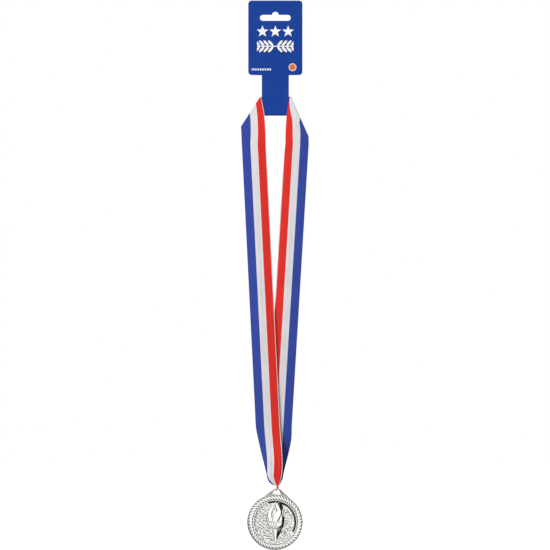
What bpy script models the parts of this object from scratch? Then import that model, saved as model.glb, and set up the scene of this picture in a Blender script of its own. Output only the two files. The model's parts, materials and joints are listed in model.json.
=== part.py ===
"""Award medal on a three-stripe neck ribbon, hanging from a folded header card.

The front faces -Y and +Z is up. The origin is the hang point: the top of the euro slot in the card's
front panel. The card's neck folds round the ribbon, whose two ends are lapped and sewn inside that fold.
The ribbon's other end runs through the eye that is cast in one piece with the medal.
"""

import math

import bmesh
import bpy
from mathutils import Matrix, Vector

MM = 0.001

# Sheets and threads, and the gap left between any two that touch
GAP = 0.3 * MM
CARD_T = 0.4 * MM
RIBBON_T = 0.35 * MM
THREAD_D = 0.3 * MM
PAD_T = 0.3 * MM

# Header card
HEADER_W = 49.1 * MM
HEADER_H = 67.3 * MM
HEADER_CORNER_R = 3.1 * MM
HEADER_TOP = 9.9 * MM
REAR_RISE = 0.7 * MM
NECK_W = 24.5 * MM
NECK_H = 36.9 * MM

# Euro slot, whose bump's top is the hang point
SLOT_W = 28.0 * MM
SLOT_H = 5.5 * MM
SLOT_BUMP_R = 3.1 * MM
SLOT_BUMP_RISE = 2.8 * MM

# Glue pad between the header's two panels
PAD_W = 36.0 * MM
PAD_H = 30.0 * MM
PAD_CORNER_R = 2.0 * MM
PAD_DROP = 36.0 * MM

# Ribbon
RIBBON_W = 22.0 * MM
RIBBON_RUN_H = 20.4 * MM
LAP_HALF = 9.5 * MM
LEFT_SHOULDER = (31.1 * MM, 10.3 * MM)
RIGHT_SHOULDER = (30.1 * MM, 19.3 * MM)
SHOULDER_RISE = 16.9 * MM
SHOULDER_CLEAR = 0.8 * MM
LEFT_TOP_X = 19.5 * MM
RIGHT_TOP_X = 19.4 * MM
LEFT_GATHER_X = -6.8 * MM
RIGHT_GATHER_X = 4.0 * MM
FLEX_DROP = 4.4 * MM
GATHER_H = 55.0 * MM
BUNCH_W = 2.4 * MM
BUNCH_T = 1.5 * MM
LOOP_RISE = 1.6 * MM

# Stitched box that holds the lapped ends
SEAM_W = 13.0 * MM
SEAM_H = 13.0 * MM
SEAM_CORNER_R = 1.0 * MM

# Medal, measured from its own centre
HANG_LENGTH = 431.9 * MM
EYE_X = 1.8 * MM
MEDAL_TURN = math.radians(4.0)
MEDAL_R = 25.4 * MM
FIELD_R = 19.6 * MM
FIELD_T = 1.8 * MM
ROPE_H = 1.7 * MM
BACK_RIM_W = 3.0 * MM
BACK_RIM_H = 1.4 * MM
LUG_T = 1.6 * MM
LUG_EDGE_R = 0.35 * MM
EYE_BAR = 1.4 * MM
EYE_SIDE_CLEAR = 0.5 * MM
EYE_H = 5.0 * MM
EYE_FOOT_W = 7.6 * MM

# Torch in relief
TORCH_BOWL_W = 13.0 * MM
TORCH_BOWL_H = 7.0 * MM
TORCH_BOWL_Z = -2.6 * MM
TORCH_FOOT_Z = -18.6 * MM
TORCH_TOP_Z = 18.4 * MM
TORCH_HANDLE_W = 5.0 * MM
TORCH_TIP_W = 2.2 * MM
TORCH_RELIEF = 1.1 * MM
TORCH_SINK = 0.13 * MM

# Worked out from the sizes above
HEADER_BOTTOM = HEADER_TOP - HEADER_H
NECK_BOTTOM = HEADER_BOTTOM - NECK_H
FRONT_LAYER_Y = -(CARD_T + RIBBON_T) / 2 - GAP
LAP_INNER_Y = (CARD_T + RIBBON_T) / 2 + GAP
LAP_OUTER_Y = LAP_INNER_Y + RIBBON_T + GAP
THREAD_Y = LAP_OUTER_Y + (RIBBON_T + THREAD_D) / 2 + GAP
NECK_REAR_Y = THREAD_Y + (THREAD_D + CARD_T) / 2 + GAP
PAD_Y = (CARD_T + PAD_T) / 2 + GAP
HEADER_REAR_Y = PAD_Y + (PAD_T + CARD_T) / 2 + GAP
FOLD_R = NECK_REAR_Y / 2
FOLD_Z = NECK_BOTTOM + CARD_T / 2 + FOLD_R
RUN_BOTTOM = FOLD_Z
FLEX_Z = NECK_BOTTOM - max(LEFT_SHOULDER[1], RIGHT_SHOULDER[1]) - FLEX_DROP
EYE_TOP_R = BUNCH_W / 2 + EYE_SIDE_CLEAR
EYE_DROP = EYE_BAR / 2 + GAP + BUNCH_T / 2 + 0.2 * MM
LEG_END_Z = -HANG_LENGTH + LOOP_RISE + GAP
GATHER_Z = LEG_END_Z + GATHER_H
APEX_R = MEDAL_R + EYE_H + EYE_BAR
CORNER_STEPS = 12

PARTS = "award_medal"
CUTTERS = "award_medal_cutters"


def clear_scene():
    for thing in list(bpy.data.objects):
        bpy.data.objects.remove(thing, do_unlink=True)


def collection(name):
    group = bpy.data.collections.get(name) or bpy.data.collections.new(name)
    if name not in bpy.context.scene.collection.children:
        bpy.context.scene.collection.children.link(group)
    return group


def material(name, colour, roughness, metallic=0.0):
    made = bpy.data.materials.new(name)
    made.use_nodes = True
    shader = made.node_tree.nodes["Principled BSDF"]
    shader.inputs["Base Color"].default_value = (*colour, 1.0)
    shader.inputs["Roughness"].default_value = roughness
    shader.inputs["Metallic"].default_value = metallic
    return made


def add_mesh(name, bm, group, finish=None):
    mesh = bpy.data.meshes.new(name)
    bm.to_mesh(mesh)
    bm.free()
    thing = bpy.data.objects.new(name, mesh)
    if finish:
        mesh.materials.append(finish)
    group.objects.link(thing)
    return thing


def thicken(thing, thickness):
    solidify = thing.modifiers.new("thickness", "SOLIDIFY")
    solidify.thickness = thickness
    solidify.offset = 0.0
    return thing


def arc(centre_x, centre_z, radius, start, end, steps=CORNER_STEPS):
    """Points on an arc, its angles in degrees from +X towards +Z."""
    points = []
    for i in range(steps + 1):
        angle = math.radians(start + (end - start) * i / steps)
        points.append((centre_x + radius * math.cos(angle), centre_z + radius * math.sin(angle)))
    return points


def outline_curve(name, outlines, extrude=0.0, edge_radius=0.0):
    """A filled flat curve of closed outlines; those inside another are holes."""
    data = bpy.data.curves.new(name, "CURVE")
    data.dimensions = "2D"
    data.fill_mode = "BOTH" if extrude else "FRONT"
    data.extrude = max(extrude - edge_radius, 0.0)
    data.bevel_depth = edge_radius
    data.bevel_resolution = 1
    data.offset = -edge_radius
    for points in outlines:
        spline = data.splines.new("POLY")
        spline.points.add(len(points) - 1)
        for point, (x, z) in zip(spline.points, points):
            point.co = (x, z, 0.0, 1.0)
        spline.use_cyclic_u = True
    thing = bpy.data.objects.new(name, data)
    bpy.context.scene.collection.objects.link(thing)
    return thing


def curve_bmesh(name, outlines, extrude=0.0, edge_radius=0.0):
    """The outlines' welded mesh, stood up so that they lie in the XZ plane and face -Y."""
    curve = outline_curve(name, outlines, extrude, edge_radius)
    mesh = bpy.data.meshes.new_from_object(curve.evaluated_get(bpy.context.evaluated_depsgraph_get()))
    bm = bmesh.new()
    bm.from_mesh(mesh)
    bmesh.ops.remove_doubles(bm, verts=bm.verts, dist=0.00001)
    bmesh.ops.rotate(bm, verts=bm.verts, cent=(0, 0, 0), matrix=Matrix.Rotation(math.pi / 2, 3, "X"))
    bpy.data.objects.remove(curve, do_unlink=True)
    bpy.data.meshes.remove(mesh)
    return bm


def rounded_box_outline(width, height, radius, centre_z):
    x = width / 2 - radius
    z = height / 2 - radius
    outline = []
    for sx, sz, start in ((1, 1, 0), (-1, 1, 90), (-1, -1, 180), (1, -1, 270)):
        outline += arc(sx * x, centre_z + sz * z, radius, start, start + 90)
    return outline


def panel_outline():
    """One panel of the card: the header above, and the neck down to where its fold starts."""
    x = HEADER_W / 2 - HEADER_CORNER_R
    top = HEADER_TOP - HEADER_CORNER_R
    foot = HEADER_BOTTOM + HEADER_CORNER_R
    outline = [(-NECK_W / 2, FOLD_Z), (-NECK_W / 2, HEADER_BOTTOM)]
    outline += arc(-x, foot, HEADER_CORNER_R, 270, 180)
    outline += arc(-x, top, HEADER_CORNER_R, 180, 90)
    outline += arc(x, top, HEADER_CORNER_R, 90, 0)
    outline += arc(x, foot, HEADER_CORNER_R, 0, -90)
    outline += [(NECK_W / 2, HEADER_BOTTOM), (NECK_W / 2, FOLD_Z)]
    return outline


def slot_outline():
    """The euro slot: a long slot with round ends and a half-round bump in the middle of its top."""
    reach = (SLOT_W - SLOT_H) / 2
    middle = -SLOT_BUMP_RISE - SLOT_H / 2
    foot = math.degrees(math.asin((SLOT_BUMP_R - SLOT_BUMP_RISE) / SLOT_BUMP_R))
    outline = arc(-reach, middle, SLOT_H / 2, 90, 270)
    outline += arc(reach, middle, SLOT_H / 2, -90, 90)
    outline += arc(0.0, -SLOT_BUMP_R, SLOT_BUMP_R, foot, 180 - foot)
    return outline


def make_header_card(group, finish):
    bm = curve_bmesh("header_card", [panel_outline(), slot_outline()])
    front = list(bm.faces)
    rear = bmesh.ops.duplicate(bm, geom=list(bm.verts) + list(bm.edges) + front)["geom"]
    # The rear panel stands off by the ribbon's thickness at the neck and closes on the pad above
    pinch_z = HEADER_BOTTOM
    spread_z = RUN_BOTTOM + RIBBON_RUN_H + GAP * 4
    for level in (pinch_z, spread_z, -SLOT_BUMP_RISE / 2):
        cut = bmesh.ops.bisect_plane(
            bm, geom=[g for g in rear if g.is_valid], plane_co=(0, 0, level), plane_no=(0, 0, 1)
        )
        rear = cut["geom"]
    for vert in {v for v in rear if isinstance(v, bmesh.types.BMVert)}:
        share = (vert.co.z - spread_z) / (pinch_z - spread_z)
        share = min(max(share, 0.0), 1.0)
        vert.co.y = NECK_REAR_Y + (HEADER_REAR_Y - NECK_REAR_Y) * share
        if vert.co.z > HEADER_TOP - HEADER_CORNER_R - MM / 100:
            vert.co.z += REAR_RISE
    foot = [e for e in bm.edges if all(abs(v.co.z - FOLD_Z) < 1e-6 and abs(v.co.y) < 1e-6 for v in e.verts)]
    bmesh.ops.spin(
        bm,
        geom=foot + list({v for e in foot for v in e.verts}),
        cent=(0, FOLD_R, FOLD_Z),
        axis=(1, 0, 0),
        angle=math.pi,
        steps=8,
        use_duplicate=False,
    )
    bmesh.ops.remove_doubles(bm, verts=bm.verts, dist=0.00002)
    bmesh.ops.recalc_face_normals(bm, faces=bm.faces)
    return thicken(add_mesh("header_card", bm, group, finish), CARD_T)


def make_glue_pad(group, finish):
    outline = rounded_box_outline(PAD_W, PAD_H, PAD_CORNER_R, -PAD_DROP)
    bm = curve_bmesh("card_glue_pad", [outline])
    bmesh.ops.translate(bm, verts=bm.verts, vec=(0, PAD_Y, 0))
    return thicken(add_mesh("card_glue_pad", bm, group, finish), PAD_T)


def between(a, b, share):
    return a + (b - a) * share


def shoulder_rows(side, shoulder, top_x, back_y):
    """Rows across the ribbon, blue edge first: up the front, over the slanting fold, then behind the neck."""
    half = RIBBON_W / 2
    start_z = FLEX_Z + GAP / 2
    foot = Vector((side * shoulder[0], FRONT_LAYER_Y, NECK_BOTTOM - shoulder[1]))
    head = Vector((side * (NECK_W / 2 + SHOULDER_CLEAR), FRONT_LAYER_Y, NECK_BOTTOM + SHOULDER_RISE))
    start_blue = Vector((side * (top_x + half), FRONT_LAYER_Y, start_z))
    start_red = Vector((side * (top_x - half), FRONT_LAYER_Y, start_z))
    bend_red = Vector((side * (top_x - half), FRONT_LAYER_Y, NECK_BOTTOM))
    rows = []
    for i in range(6):
        share = i / 6
        red = between(between(start_red, bend_red, share), between(bend_red, head, share), share)
        rows.append((between(start_blue, foot, share), red))
    radius = (back_y - FRONT_LAYER_Y) / 2
    along = (head - foot).normalized()
    outward = Vector((-side * abs(along.z), 0, -abs(along.x))) * -1
    for i in range(9):
        angle = math.pi * i / 8
        shift = outward * (radius * math.sin(angle)) + Vector((0, radius * (1 - math.cos(angle)), 0))
        rows.append((foot + shift, head + shift))
    back = Vector((0, back_y, 0))
    run_top = RUN_BOTTOM + RIBBON_RUN_H
    blue, red = rows[-1]
    edge_blue = Vector((side * NECK_W / 2, 0, RUN_BOTTOM)) + back
    edge_red = Vector((side * NECK_W * 0.4, 0, between(head.z, run_top, 0.5))) + back
    for i in range(1, 4):
        rows.append((between(blue, edge_blue, i / 3), between(red, edge_red, i / 3)))
    end_blue = Vector((-side * LAP_HALF, 0, RUN_BOTTOM)) + back
    end_red = Vector((-side * LAP_HALF, 0, run_top)) + back
    for i in range(1, 4):
        rows.append((between(edge_blue, end_blue, i / 3), between(edge_red, end_red, i / 3)))
    return rows


def make_shoulder(name, side, shoulder, top_x, back_y, group, finish):
    across = 3
    bm = bmesh.new()
    grid = []
    for blue, red in shoulder_rows(side, shoulder, top_x, back_y):
        grid.append([bm.verts.new(between(blue, red, i / across)) for i in range(across + 1)])
    for lower, upper in zip(grid, grid[1:]):
        for i in range(across):
            bm.faces.new((lower[i], lower[i + 1], upper[i + 1], upper[i]))
    bmesh.ops.recalc_face_normals(bm, faces=bm.faces)
    return thicken(add_mesh(name, bm, group, finish), RIBBON_T)


def loft(name, rings, group, finish):
    """A closed solid through rings of points, which all run the same way round."""
    bm = bmesh.new()
    made = [[bm.verts.new(point) for point in ring] for ring in rings]
    count = len(made[0])
    for lower, upper in zip(made, made[1:]):
        for i in range(count):
            j = (i + 1) % count
            bm.faces.new((lower[i], lower[j], upper[j], upper[i]))
    bm.faces.new(made[0])
    bm.faces.new(reversed(made[-1]))
    bmesh.ops.recalc_face_normals(bm, faces=bm.faces)
    return add_mesh(name, bm, group, finish)


def flat_section(centre, width, thickness):
    """A level section through a strip: a rectangle with its corners taken off."""
    a = width / 2
    b = thickness / 2
    cut = min(a, b) * 0.6
    corners = ((-a, -b + cut), (-a + cut, -b), (a - cut, -b), (a, -b + cut))
    corners += tuple((-x, -y) for x, y in corners)
    return [centre + Vector((x, y, 0)) for x, y in corners]


def make_leg(name, top_x, gather_x, end_y, group, finish):
    """One hanging leg of the ribbon: flat and straight, then gathered to a bunch above the eye."""
    top_z = FLEX_Z - GAP / 2
    rings = []
    straight_rings = 8
    for i in range(straight_rings):
        z = between(top_z, GATHER_Z, i / straight_rings)
        depth = between(FRONT_LAYER_Y, end_y, (top_z - z) / (top_z - LEG_END_Z))
        x = between(top_x, gather_x, i / straight_rings)
        rings.append(flat_section(Vector((x, depth, z)), RIBBON_W, RIBBON_T))
    gather_rings = 12
    for i in range(gather_rings + 1):
        # Rings crowd towards the bunch, where the ribbon narrows fastest
        share = math.sin(math.pi / 2 * i / gather_rings)
        z = between(GATHER_Z, LEG_END_Z, share)
        depth = between(FRONT_LAYER_Y, end_y, (top_z - z) / (top_z - LEG_END_Z))
        width = BUNCH_W + (RIBBON_W - BUNCH_W) * math.sqrt(max(1 - share * share, 0.0))
        thickness = between(RIBBON_T, BUNCH_T, share * share)
        x = between(gather_x, EYE_X, share ** 1.2)
        rings.append(flat_section(Vector((x, depth, z)), width, thickness))
    return loft(name, rings, group, finish)


def make_eye_loop(group, finish):
    """The bunched ribbon: down in front of the eye's bar, under it, and up behind."""
    sides = 12
    path = [(math.pi, LOOP_RISE)]
    path += [(math.pi + math.pi * i / 12, 0.0) for i in range(13)]
    path += [(2 * math.pi, LOOP_RISE)]
    rings = []
    for angle, rise in path:
        out = Vector((0, math.cos(angle), math.sin(angle)))
        centre = Vector((EYE_X, 0, -HANG_LENGTH + rise)) + out * EYE_DROP
        ring = []
        for i in range(sides):
            turn = 2 * math.pi * i / sides
            across = Vector((math.cos(turn) * BUNCH_W / 2, 0, 0))
            ring.append(centre + across + out * (math.sin(turn) * BUNCH_T / 2))
        rings.append(ring)
    return loft("ribbon_eye_loop", rings, group, finish)


def make_seam_stitching(group, finish):
    data = bpy.data.curves.new("ribbon_seam_stitching", "CURVE")
    data.dimensions = "3D"
    data.bevel_depth = THREAD_D / 2
    data.bevel_resolution = 1
    centre_z = RUN_BOTTOM + RIBBON_RUN_H / 2
    outline = rounded_box_outline(SEAM_W, SEAM_H, SEAM_CORNER_R, centre_z)
    spline = data.splines.new("POLY")
    spline.points.add(len(outline) - 1)
    for point, (x, z) in zip(spline.points, outline):
        point.co = (x, THREAD_Y, z, 1.0)
    spline.use_cyclic_u = True
    thing = bpy.data.objects.new("ribbon_seam_stitching", data)
    data.materials.append(finish)
    group.objects.link(thing)
    return thing


def medal_profile():
    """Half section of the disc, radius and height, from the front's middle round to the back's."""
    rope_mid = (FIELD_R + MEDAL_R) / 2
    rope_half = (MEDAL_R - FIELD_R) / 2
    base = FIELD_T / 2
    points = [(0.0, base)]
    for i in range(9):
        angle = math.pi * (1 - i / 8)
        height = base * 0.5 + (ROPE_H - base * 0.5) * math.sin(angle)
        points.append((rope_mid + rope_half * math.cos(angle), max(height, base * (1 - i / 12))))
    rim_in = MEDAL_R - BACK_RIM_W
    points += [(MEDAL_R, -base), (MEDAL_R - 0.5 * MM, -BACK_RIM_H), (rim_in, -BACK_RIM_H)]
    points += [(rim_in - 0.6 * MM, -base), (0.0, -base)]
    return points


def make_disc(group, finish):
    bm = bmesh.new()
    verts = [bm.verts.new((radius, 0, height)) for radius, height in medal_profile()]
    for a, b in zip(verts, verts[1:]):
        bm.edges.new((a, b))
    disc = add_mesh("medal_body", bm, group, finish)
    screw = disc.modifiers.new("turned", "SCREW")
    screw.axis = "Z"
    screw.steps = 96
    screw.render_steps = 96
    screw.use_merge_vertices = True
    screw.merge_threshold = 0.00001
    solid = bpy.data.meshes.new_from_object(disc.evaluated_get(bpy.context.evaluated_depsgraph_get()))
    solid.transform(Matrix.Rotation(math.pi / 2, 4, "X"))
    disc.modifiers.clear()
    disc.data = solid
    return disc


def eye_outlines():
    """The eye's roof-shaped lug, tangent to the disc, and its arched opening."""
    touch = math.acos(MEDAL_R / APEX_R)
    foot_x = MEDAL_R * math.sin(touch)
    foot_z = MEDAL_R * math.cos(touch)
    tip = EYE_BAR + EYE_TOP_R
    crown = math.degrees(touch)
    lug = [(-foot_x * 0.97, foot_z * 0.97), (foot_x * 0.97, foot_z * 0.97)]
    lug += [(foot_x, foot_z)]
    lug += arc(0.0, APEX_R - tip, tip, crown, 180 - crown)
    lug += [(-foot_x, foot_z)]
    top = APEX_R - EYE_BAR
    hole = [(-EYE_FOOT_W / 2, top - EYE_H), (EYE_FOOT_W / 2, top - EYE_H)]
    hole += arc(0.0, top - EYE_TOP_R, EYE_TOP_R, 30, 150, 8)
    return lug, hole


def make_lug(group):
    lug, _ = eye_outlines()
    bm = curve_bmesh("eye_lug", [lug], LUG_T / 2, LUG_EDGE_R)
    return as_cutter(add_mesh("eye_lug", bm, group))


def make_eye_hole(group):
    _, hole = eye_outlines()
    bm = curve_bmesh("eye_hole", [hole], MEDAL_R / 4)
    return as_cutter(add_mesh("eye_hole", bm, group))


def make_torch(group):
    """Handle, bowl and flame as three solids sunk a little into the medal's field."""
    face = TORCH_SINK - FIELD_T / 2
    bm = bmesh.new()
    handle_top = TORCH_BOWL_Z
    length = handle_top - TORCH_FOOT_Z
    bmesh.ops.create_cone(
        bm,
        cap_ends=True,
        segments=16,
        radius1=TORCH_TIP_W / 2,
        radius2=TORCH_HANDLE_W / 2,
        depth=length,
        matrix=Matrix.Translation((0, 0, TORCH_FOOT_Z + length / 2)),
    )
    handle = as_cutter(add_mesh("torch_handle", bm, group))
    bm = bmesh.new()
    bmesh.ops.create_uvsphere(bm, u_segments=20, v_segments=10, radius=0.5)
    bmesh.ops.scale(bm, verts=bm.verts, vec=(TORCH_BOWL_W, TORCH_RELIEF * 2, TORCH_BOWL_H))
    bmesh.ops.translate(bm, verts=bm.verts, vec=(0, 0, TORCH_BOWL_Z))
    bowl = as_cutter(add_mesh("torch_bowl", bm, group))
    wide = TORCH_BOWL_W / 2
    base = TORCH_BOWL_Z + TORCH_BOWL_H * 0.2
    rise = TORCH_TOP_Z - base
    right = [(0.80, 0.0), (1.0, 0.22), (0.88, 0.48), (0.50, 0.72), (0.25, 0.86), (0.12, 1.0)]
    left = [(-0.25, 0.78), (-0.45, 0.98), (-0.85, 0.72), (-1.0, 0.40), (-0.80, 0.0)]
    flame_line = [(wide * x, base + rise * z) for x, z in right + left]
    bm = curve_bmesh("torch_flame", [flame_line], TORCH_RELIEF * 0.9)
    flame = as_cutter(add_mesh("torch_flame", bm, group))
    for piece in (handle, bowl, flame):
        shrink = Matrix.Diagonal((1, 0.55, 1, 1)) if piece is handle else Matrix.Identity(4)
        piece.data.transform(Matrix.Translation((0, face, 0)) @ shrink)
    return [bowl, handle, flame]


def as_cutter(thing):
    thing.hide_render = True
    thing.display_type = "WIRE"
    return thing


def add_boolean(thing, other, operation):
    boolean = thing.modifiers.new(other.name, "BOOLEAN")
    boolean.operation = operation
    boolean.solver = "EXACT"
    boolean.object = other


def make_medal(parts, cutters, finish):
    medal = make_disc(parts, finish)
    pieces = [(make_lug(cutters), "UNION"), (make_eye_hole(cutters), "DIFFERENCE")]
    pieces += [(piece, "UNION") for piece in make_torch(cutters)]
    # The eye's bar is the joint, so the medal and its cutters are measured from there
    lower = Matrix.Translation((0, 0, EYE_BAR / 2 - APEX_R))
    pivot = bpy.data.objects.new("medal_pivot", None)
    parts.objects.link(pivot)
    pivot.location = (EYE_X, 0, -HANG_LENGTH)
    pivot.rotation_euler = (0, MEDAL_TURN, 0)
    torch_names = ("torch_handle", "torch_bowl", "torch_flame")
    for thing in [medal] + [piece for piece, _ in pieces]:
        straighten = Matrix.Rotation(-MEDAL_TURN, 4, "Y") if thing.name in torch_names else Matrix.Identity(4)
        thing.data.transform(lower @ straighten)
        thing.parent = pivot
    for piece, operation in pieces:
        add_boolean(medal, piece, operation)
    return medal


def main():
    clear_scene()
    parts = collection(PARTS)
    cutters = collection(CUTTERS)
    card = material("card_print", (0.016, 0.060, 0.330), 0.45)
    glue = material("dried_glue", (0.80, 0.77, 0.66), 0.5)
    ribbon = material("ribbon_satin", (0.50, 0.20, 0.30), 0.55)
    thread = material("sewing_thread", (0.85, 0.85, 0.85), 0.7)
    silver = material("bright_silver_plate", (0.90, 0.90, 0.89), 0.08, 1.0)
    make_header_card(parts, card)
    make_glue_pad(parts, glue)
    make_shoulder("ribbon_left_shoulder", -1, LEFT_SHOULDER, LEFT_TOP_X, LAP_INNER_Y, parts, ribbon)
    make_shoulder("ribbon_right_shoulder", 1, RIGHT_SHOULDER, RIGHT_TOP_X, LAP_OUTER_Y, parts, ribbon)
    make_seam_stitching(parts, thread)
    make_leg("ribbon_left_leg", -LEFT_TOP_X, LEFT_GATHER_X, -EYE_DROP, parts, ribbon)
    make_leg("ribbon_right_leg", RIGHT_TOP_X, RIGHT_GATHER_X, EYE_DROP, parts, ribbon)
    make_eye_loop(parts, ribbon)
    make_medal(parts, cutters, silver)


main()
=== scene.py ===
"""Award medal on a striped neck ribbon, hanging from its folded header card: the finished surfaces."""

import json
import math

import bpy
from bpy.props import FloatProperty, FloatVectorProperty, IntProperty, PointerProperty
from mathutils import Matrix, Vector


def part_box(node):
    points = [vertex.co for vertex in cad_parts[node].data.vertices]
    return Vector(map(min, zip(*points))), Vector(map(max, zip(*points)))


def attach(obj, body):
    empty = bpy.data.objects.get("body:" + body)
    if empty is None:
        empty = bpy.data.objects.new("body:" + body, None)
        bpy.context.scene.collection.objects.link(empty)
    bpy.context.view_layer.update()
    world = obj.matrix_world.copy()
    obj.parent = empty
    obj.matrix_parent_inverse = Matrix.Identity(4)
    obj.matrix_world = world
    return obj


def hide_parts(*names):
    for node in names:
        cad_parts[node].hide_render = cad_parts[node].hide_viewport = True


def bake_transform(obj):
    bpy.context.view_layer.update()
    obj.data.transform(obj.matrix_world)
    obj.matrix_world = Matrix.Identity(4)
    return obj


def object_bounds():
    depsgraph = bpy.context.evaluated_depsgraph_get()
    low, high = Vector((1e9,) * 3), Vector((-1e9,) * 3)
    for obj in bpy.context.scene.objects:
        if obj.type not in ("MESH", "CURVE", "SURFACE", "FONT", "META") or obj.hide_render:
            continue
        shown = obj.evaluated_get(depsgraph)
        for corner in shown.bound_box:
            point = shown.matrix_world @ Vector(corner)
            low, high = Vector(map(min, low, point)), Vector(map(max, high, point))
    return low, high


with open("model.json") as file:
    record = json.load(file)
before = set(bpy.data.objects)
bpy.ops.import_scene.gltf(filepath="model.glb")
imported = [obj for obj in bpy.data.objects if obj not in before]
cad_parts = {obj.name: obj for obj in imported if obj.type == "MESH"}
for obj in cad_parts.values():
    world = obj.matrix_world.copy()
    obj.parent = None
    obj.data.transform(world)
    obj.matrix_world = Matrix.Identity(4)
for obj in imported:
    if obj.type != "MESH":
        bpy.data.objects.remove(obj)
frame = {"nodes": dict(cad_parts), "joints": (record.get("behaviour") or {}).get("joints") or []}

bl_info = {
    "name": "Award Medal on Ribbon",
    "version": (1, 0, 0),
    "blender": (4, 5, 0),
    "location": "View3D > Sidebar > Award Medal",
    "description": "Builds the finished medal, its ribbon, its card and a studio round the packed frame",
    "category": "Object",
}

MM = 0.001
CAD_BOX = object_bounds()


# ---------------------------------------------------------------- places taken from the frame

def joint_point(name):
    """The point that a joint turns about, at rest."""
    for joint in frame["joints"]:
        if joint["name"] == name:
            return Vector(joint["pos_m"])
    raise ValueError("the frame has no joint " + name)


EYE = joint_point("medal_swing")
FLEX_Z = joint_point("ribbon_swing").z
CARD_LOW, CARD_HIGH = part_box("header_card")
LOOP_LOW, LOOP_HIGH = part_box("ribbon_eye_loop")
MEDAL_LOW, MEDAL_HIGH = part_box("medal_body")
MEDAL_R = (MEDAL_HIGH.x - MEDAL_LOW.x) / 2
MEDAL_CENTRE = Vector((MEDAL_LOW.x + MEDAL_R, 0.0, MEDAL_LOW.z + MEDAL_R))
MEDAL_TURN = math.atan2(EYE.x - MEDAL_CENTRE.x, EYE.z - MEDAL_CENTRE.z)
EYE_REACH = (EYE - MEDAL_CENTRE).length


# ---------------------------------------------------------------- settings

def length(name, text, value):
    """A length in metres that a user may change."""
    return FloatProperty(name=name, description=text, default=value, unit="LENGTH", precision=5)


def colour(name, text, value):
    """A linear colour that a user may change."""
    return FloatVectorProperty(
        name=name, description=text, default=value, subtype="COLOR", size=3, min=0, max=1
    )


def level(name, text, value):
    """A brightness of the surroundings that a user may change."""
    return FloatProperty(name=name, description=text, default=value, min=0.0)


def power(name, text, value):
    """A lamp's power in watts that a user may change."""
    return FloatProperty(name=name, description=text, default=value, unit="POWER")


class MedalRibbonSettings(bpy.types.PropertyGroup):
    width: length("Width", "Full width of the ribbon", 22.0 * MM)
    thickness: length("Thickness", "Thickness of the woven ribbon", 0.32 * MM)
    selvedge: length("Selvedge", "Pale woven edge beside the red stripe", 0.6 * MM)
    rib_pitch: length("Rib Pitch", "Distance between the weave's ribs", 0.42 * MM)
    cup: length("Cup", "How far the ribbon bows across its width", 0.7 * MM)
    split_z: length("Split Height", "Where the upper and lower strips meet", -250.0 * MM)
    blue: colour("Blue", "The outer stripe", (0.037, 0.067, 0.350))
    white: colour("White", "The middle stripe", (0.75, 0.73, 0.75))
    red: colour("Red", "The inner stripe", (0.76, 0.030, 0.022))


class MedalCardSettings(bpy.types.PropertyGroup):
    blue: colour("Print Blue", "The card's printed ground", (0.0065, 0.0460, 0.285))
    shadow: colour("Print Shadow", "The shadow printed behind the motif", (0.006, 0.010, 0.075))
    white: colour("Print White", "The unprinted motif", (0.95, 0.94, 0.97))
    roundel: colour("Roundel", "The small round seal", (0.76, 0.16, 0.05))
    star_radius: length("Star Radius", "Radius of the printed stars", 5.6 * MM)
    star_gap: length("Star Spacing", "Distance between the printed stars", 11.6 * MM)


class MedalMetalSettings(bpy.types.PropertyGroup):
    silver: colour("Silver", "The plated metal", (0.92, 0.915, 0.88))
    strands: IntProperty(name="Strands", description="Strands in the rope border", default=50, min=12, max=96)
    rope_width: length("Rope Width", "Width of the rope border", 5.9 * MM)
    stipple: length("Stipple Size", "Size of the field's punched grains", 1.25 * MM)
    stipple_depth: length("Stipple Depth", "Depth of the field's punched grains", 0.20 * MM)


class MedalStageSettings(bpy.types.PropertyGroup):
    distance: length("Camera Distance", "From the camera to the object", 2.6)
    view_height: length("View Height", "Height of the object that the view takes in", 0.49885)
    view_top: length("View Top", "Height of the view's upper edge", 10.6 * MM)
    ambient: level("Ambient", "Brightness of the white room", 0.46)
    reflected: level("Reflected Room", "Brightness of the room in reflections", 1.14)
    key_power: power("Key Light", "Power of the front light at the left", 16.0)
    fill_power: power("Fill Light", "Power of the front light at the right", 0.5)


# ---------------------------------------------------------------- small modelling helpers

def only(thing):
    """Selects one object alone and makes it active, in object mode."""
    if bpy.context.object and bpy.context.object.mode != "OBJECT":
        bpy.ops.object.mode_set(mode="OBJECT")
    bpy.ops.object.select_all(action="DESELECT")
    thing.select_set(True)
    bpy.context.view_layer.objects.active = thing
    return thing


def start(name):
    """Names the primitive that was just added and selects it alone."""
    thing = bpy.context.object
    thing.name = name
    thing.data.name = name
    return only(thing)


def apply_place(thing):
    """Moves an object's place, turn and size into its mesh."""
    only(thing)
    bpy.ops.object.transform_apply(location=True, rotation=True, scale=True)
    return thing


def edit_faces(thing, wanted):
    """Opens edit mode with just the wanted faces selected."""
    only(thing)
    bpy.context.tool_settings.mesh_select_mode = (False, False, True)
    for item in list(thing.data.vertices) + list(thing.data.edges):
        item.select = False
    for face in thing.data.polygons:
        face.select = wanted(face)
    bpy.ops.object.mode_set(mode="EDIT")


def edit_edges(thing, wanted):
    """Opens edit mode with just the wanted edges selected; wanted takes an edge's two end points."""
    only(thing)
    bpy.context.tool_settings.mesh_select_mode = (False, True, False)
    mesh = thing.data
    for item in list(mesh.vertices) + list(mesh.polygons):
        item.select = False
    for edge in mesh.edges:
        a, b = (mesh.vertices[i].co for i in edge.vertices)
        edge.select = wanted(a, b)
    bpy.ops.object.mode_set(mode="EDIT")


def leave_edit():
    bpy.ops.object.mode_set(mode="OBJECT")


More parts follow.
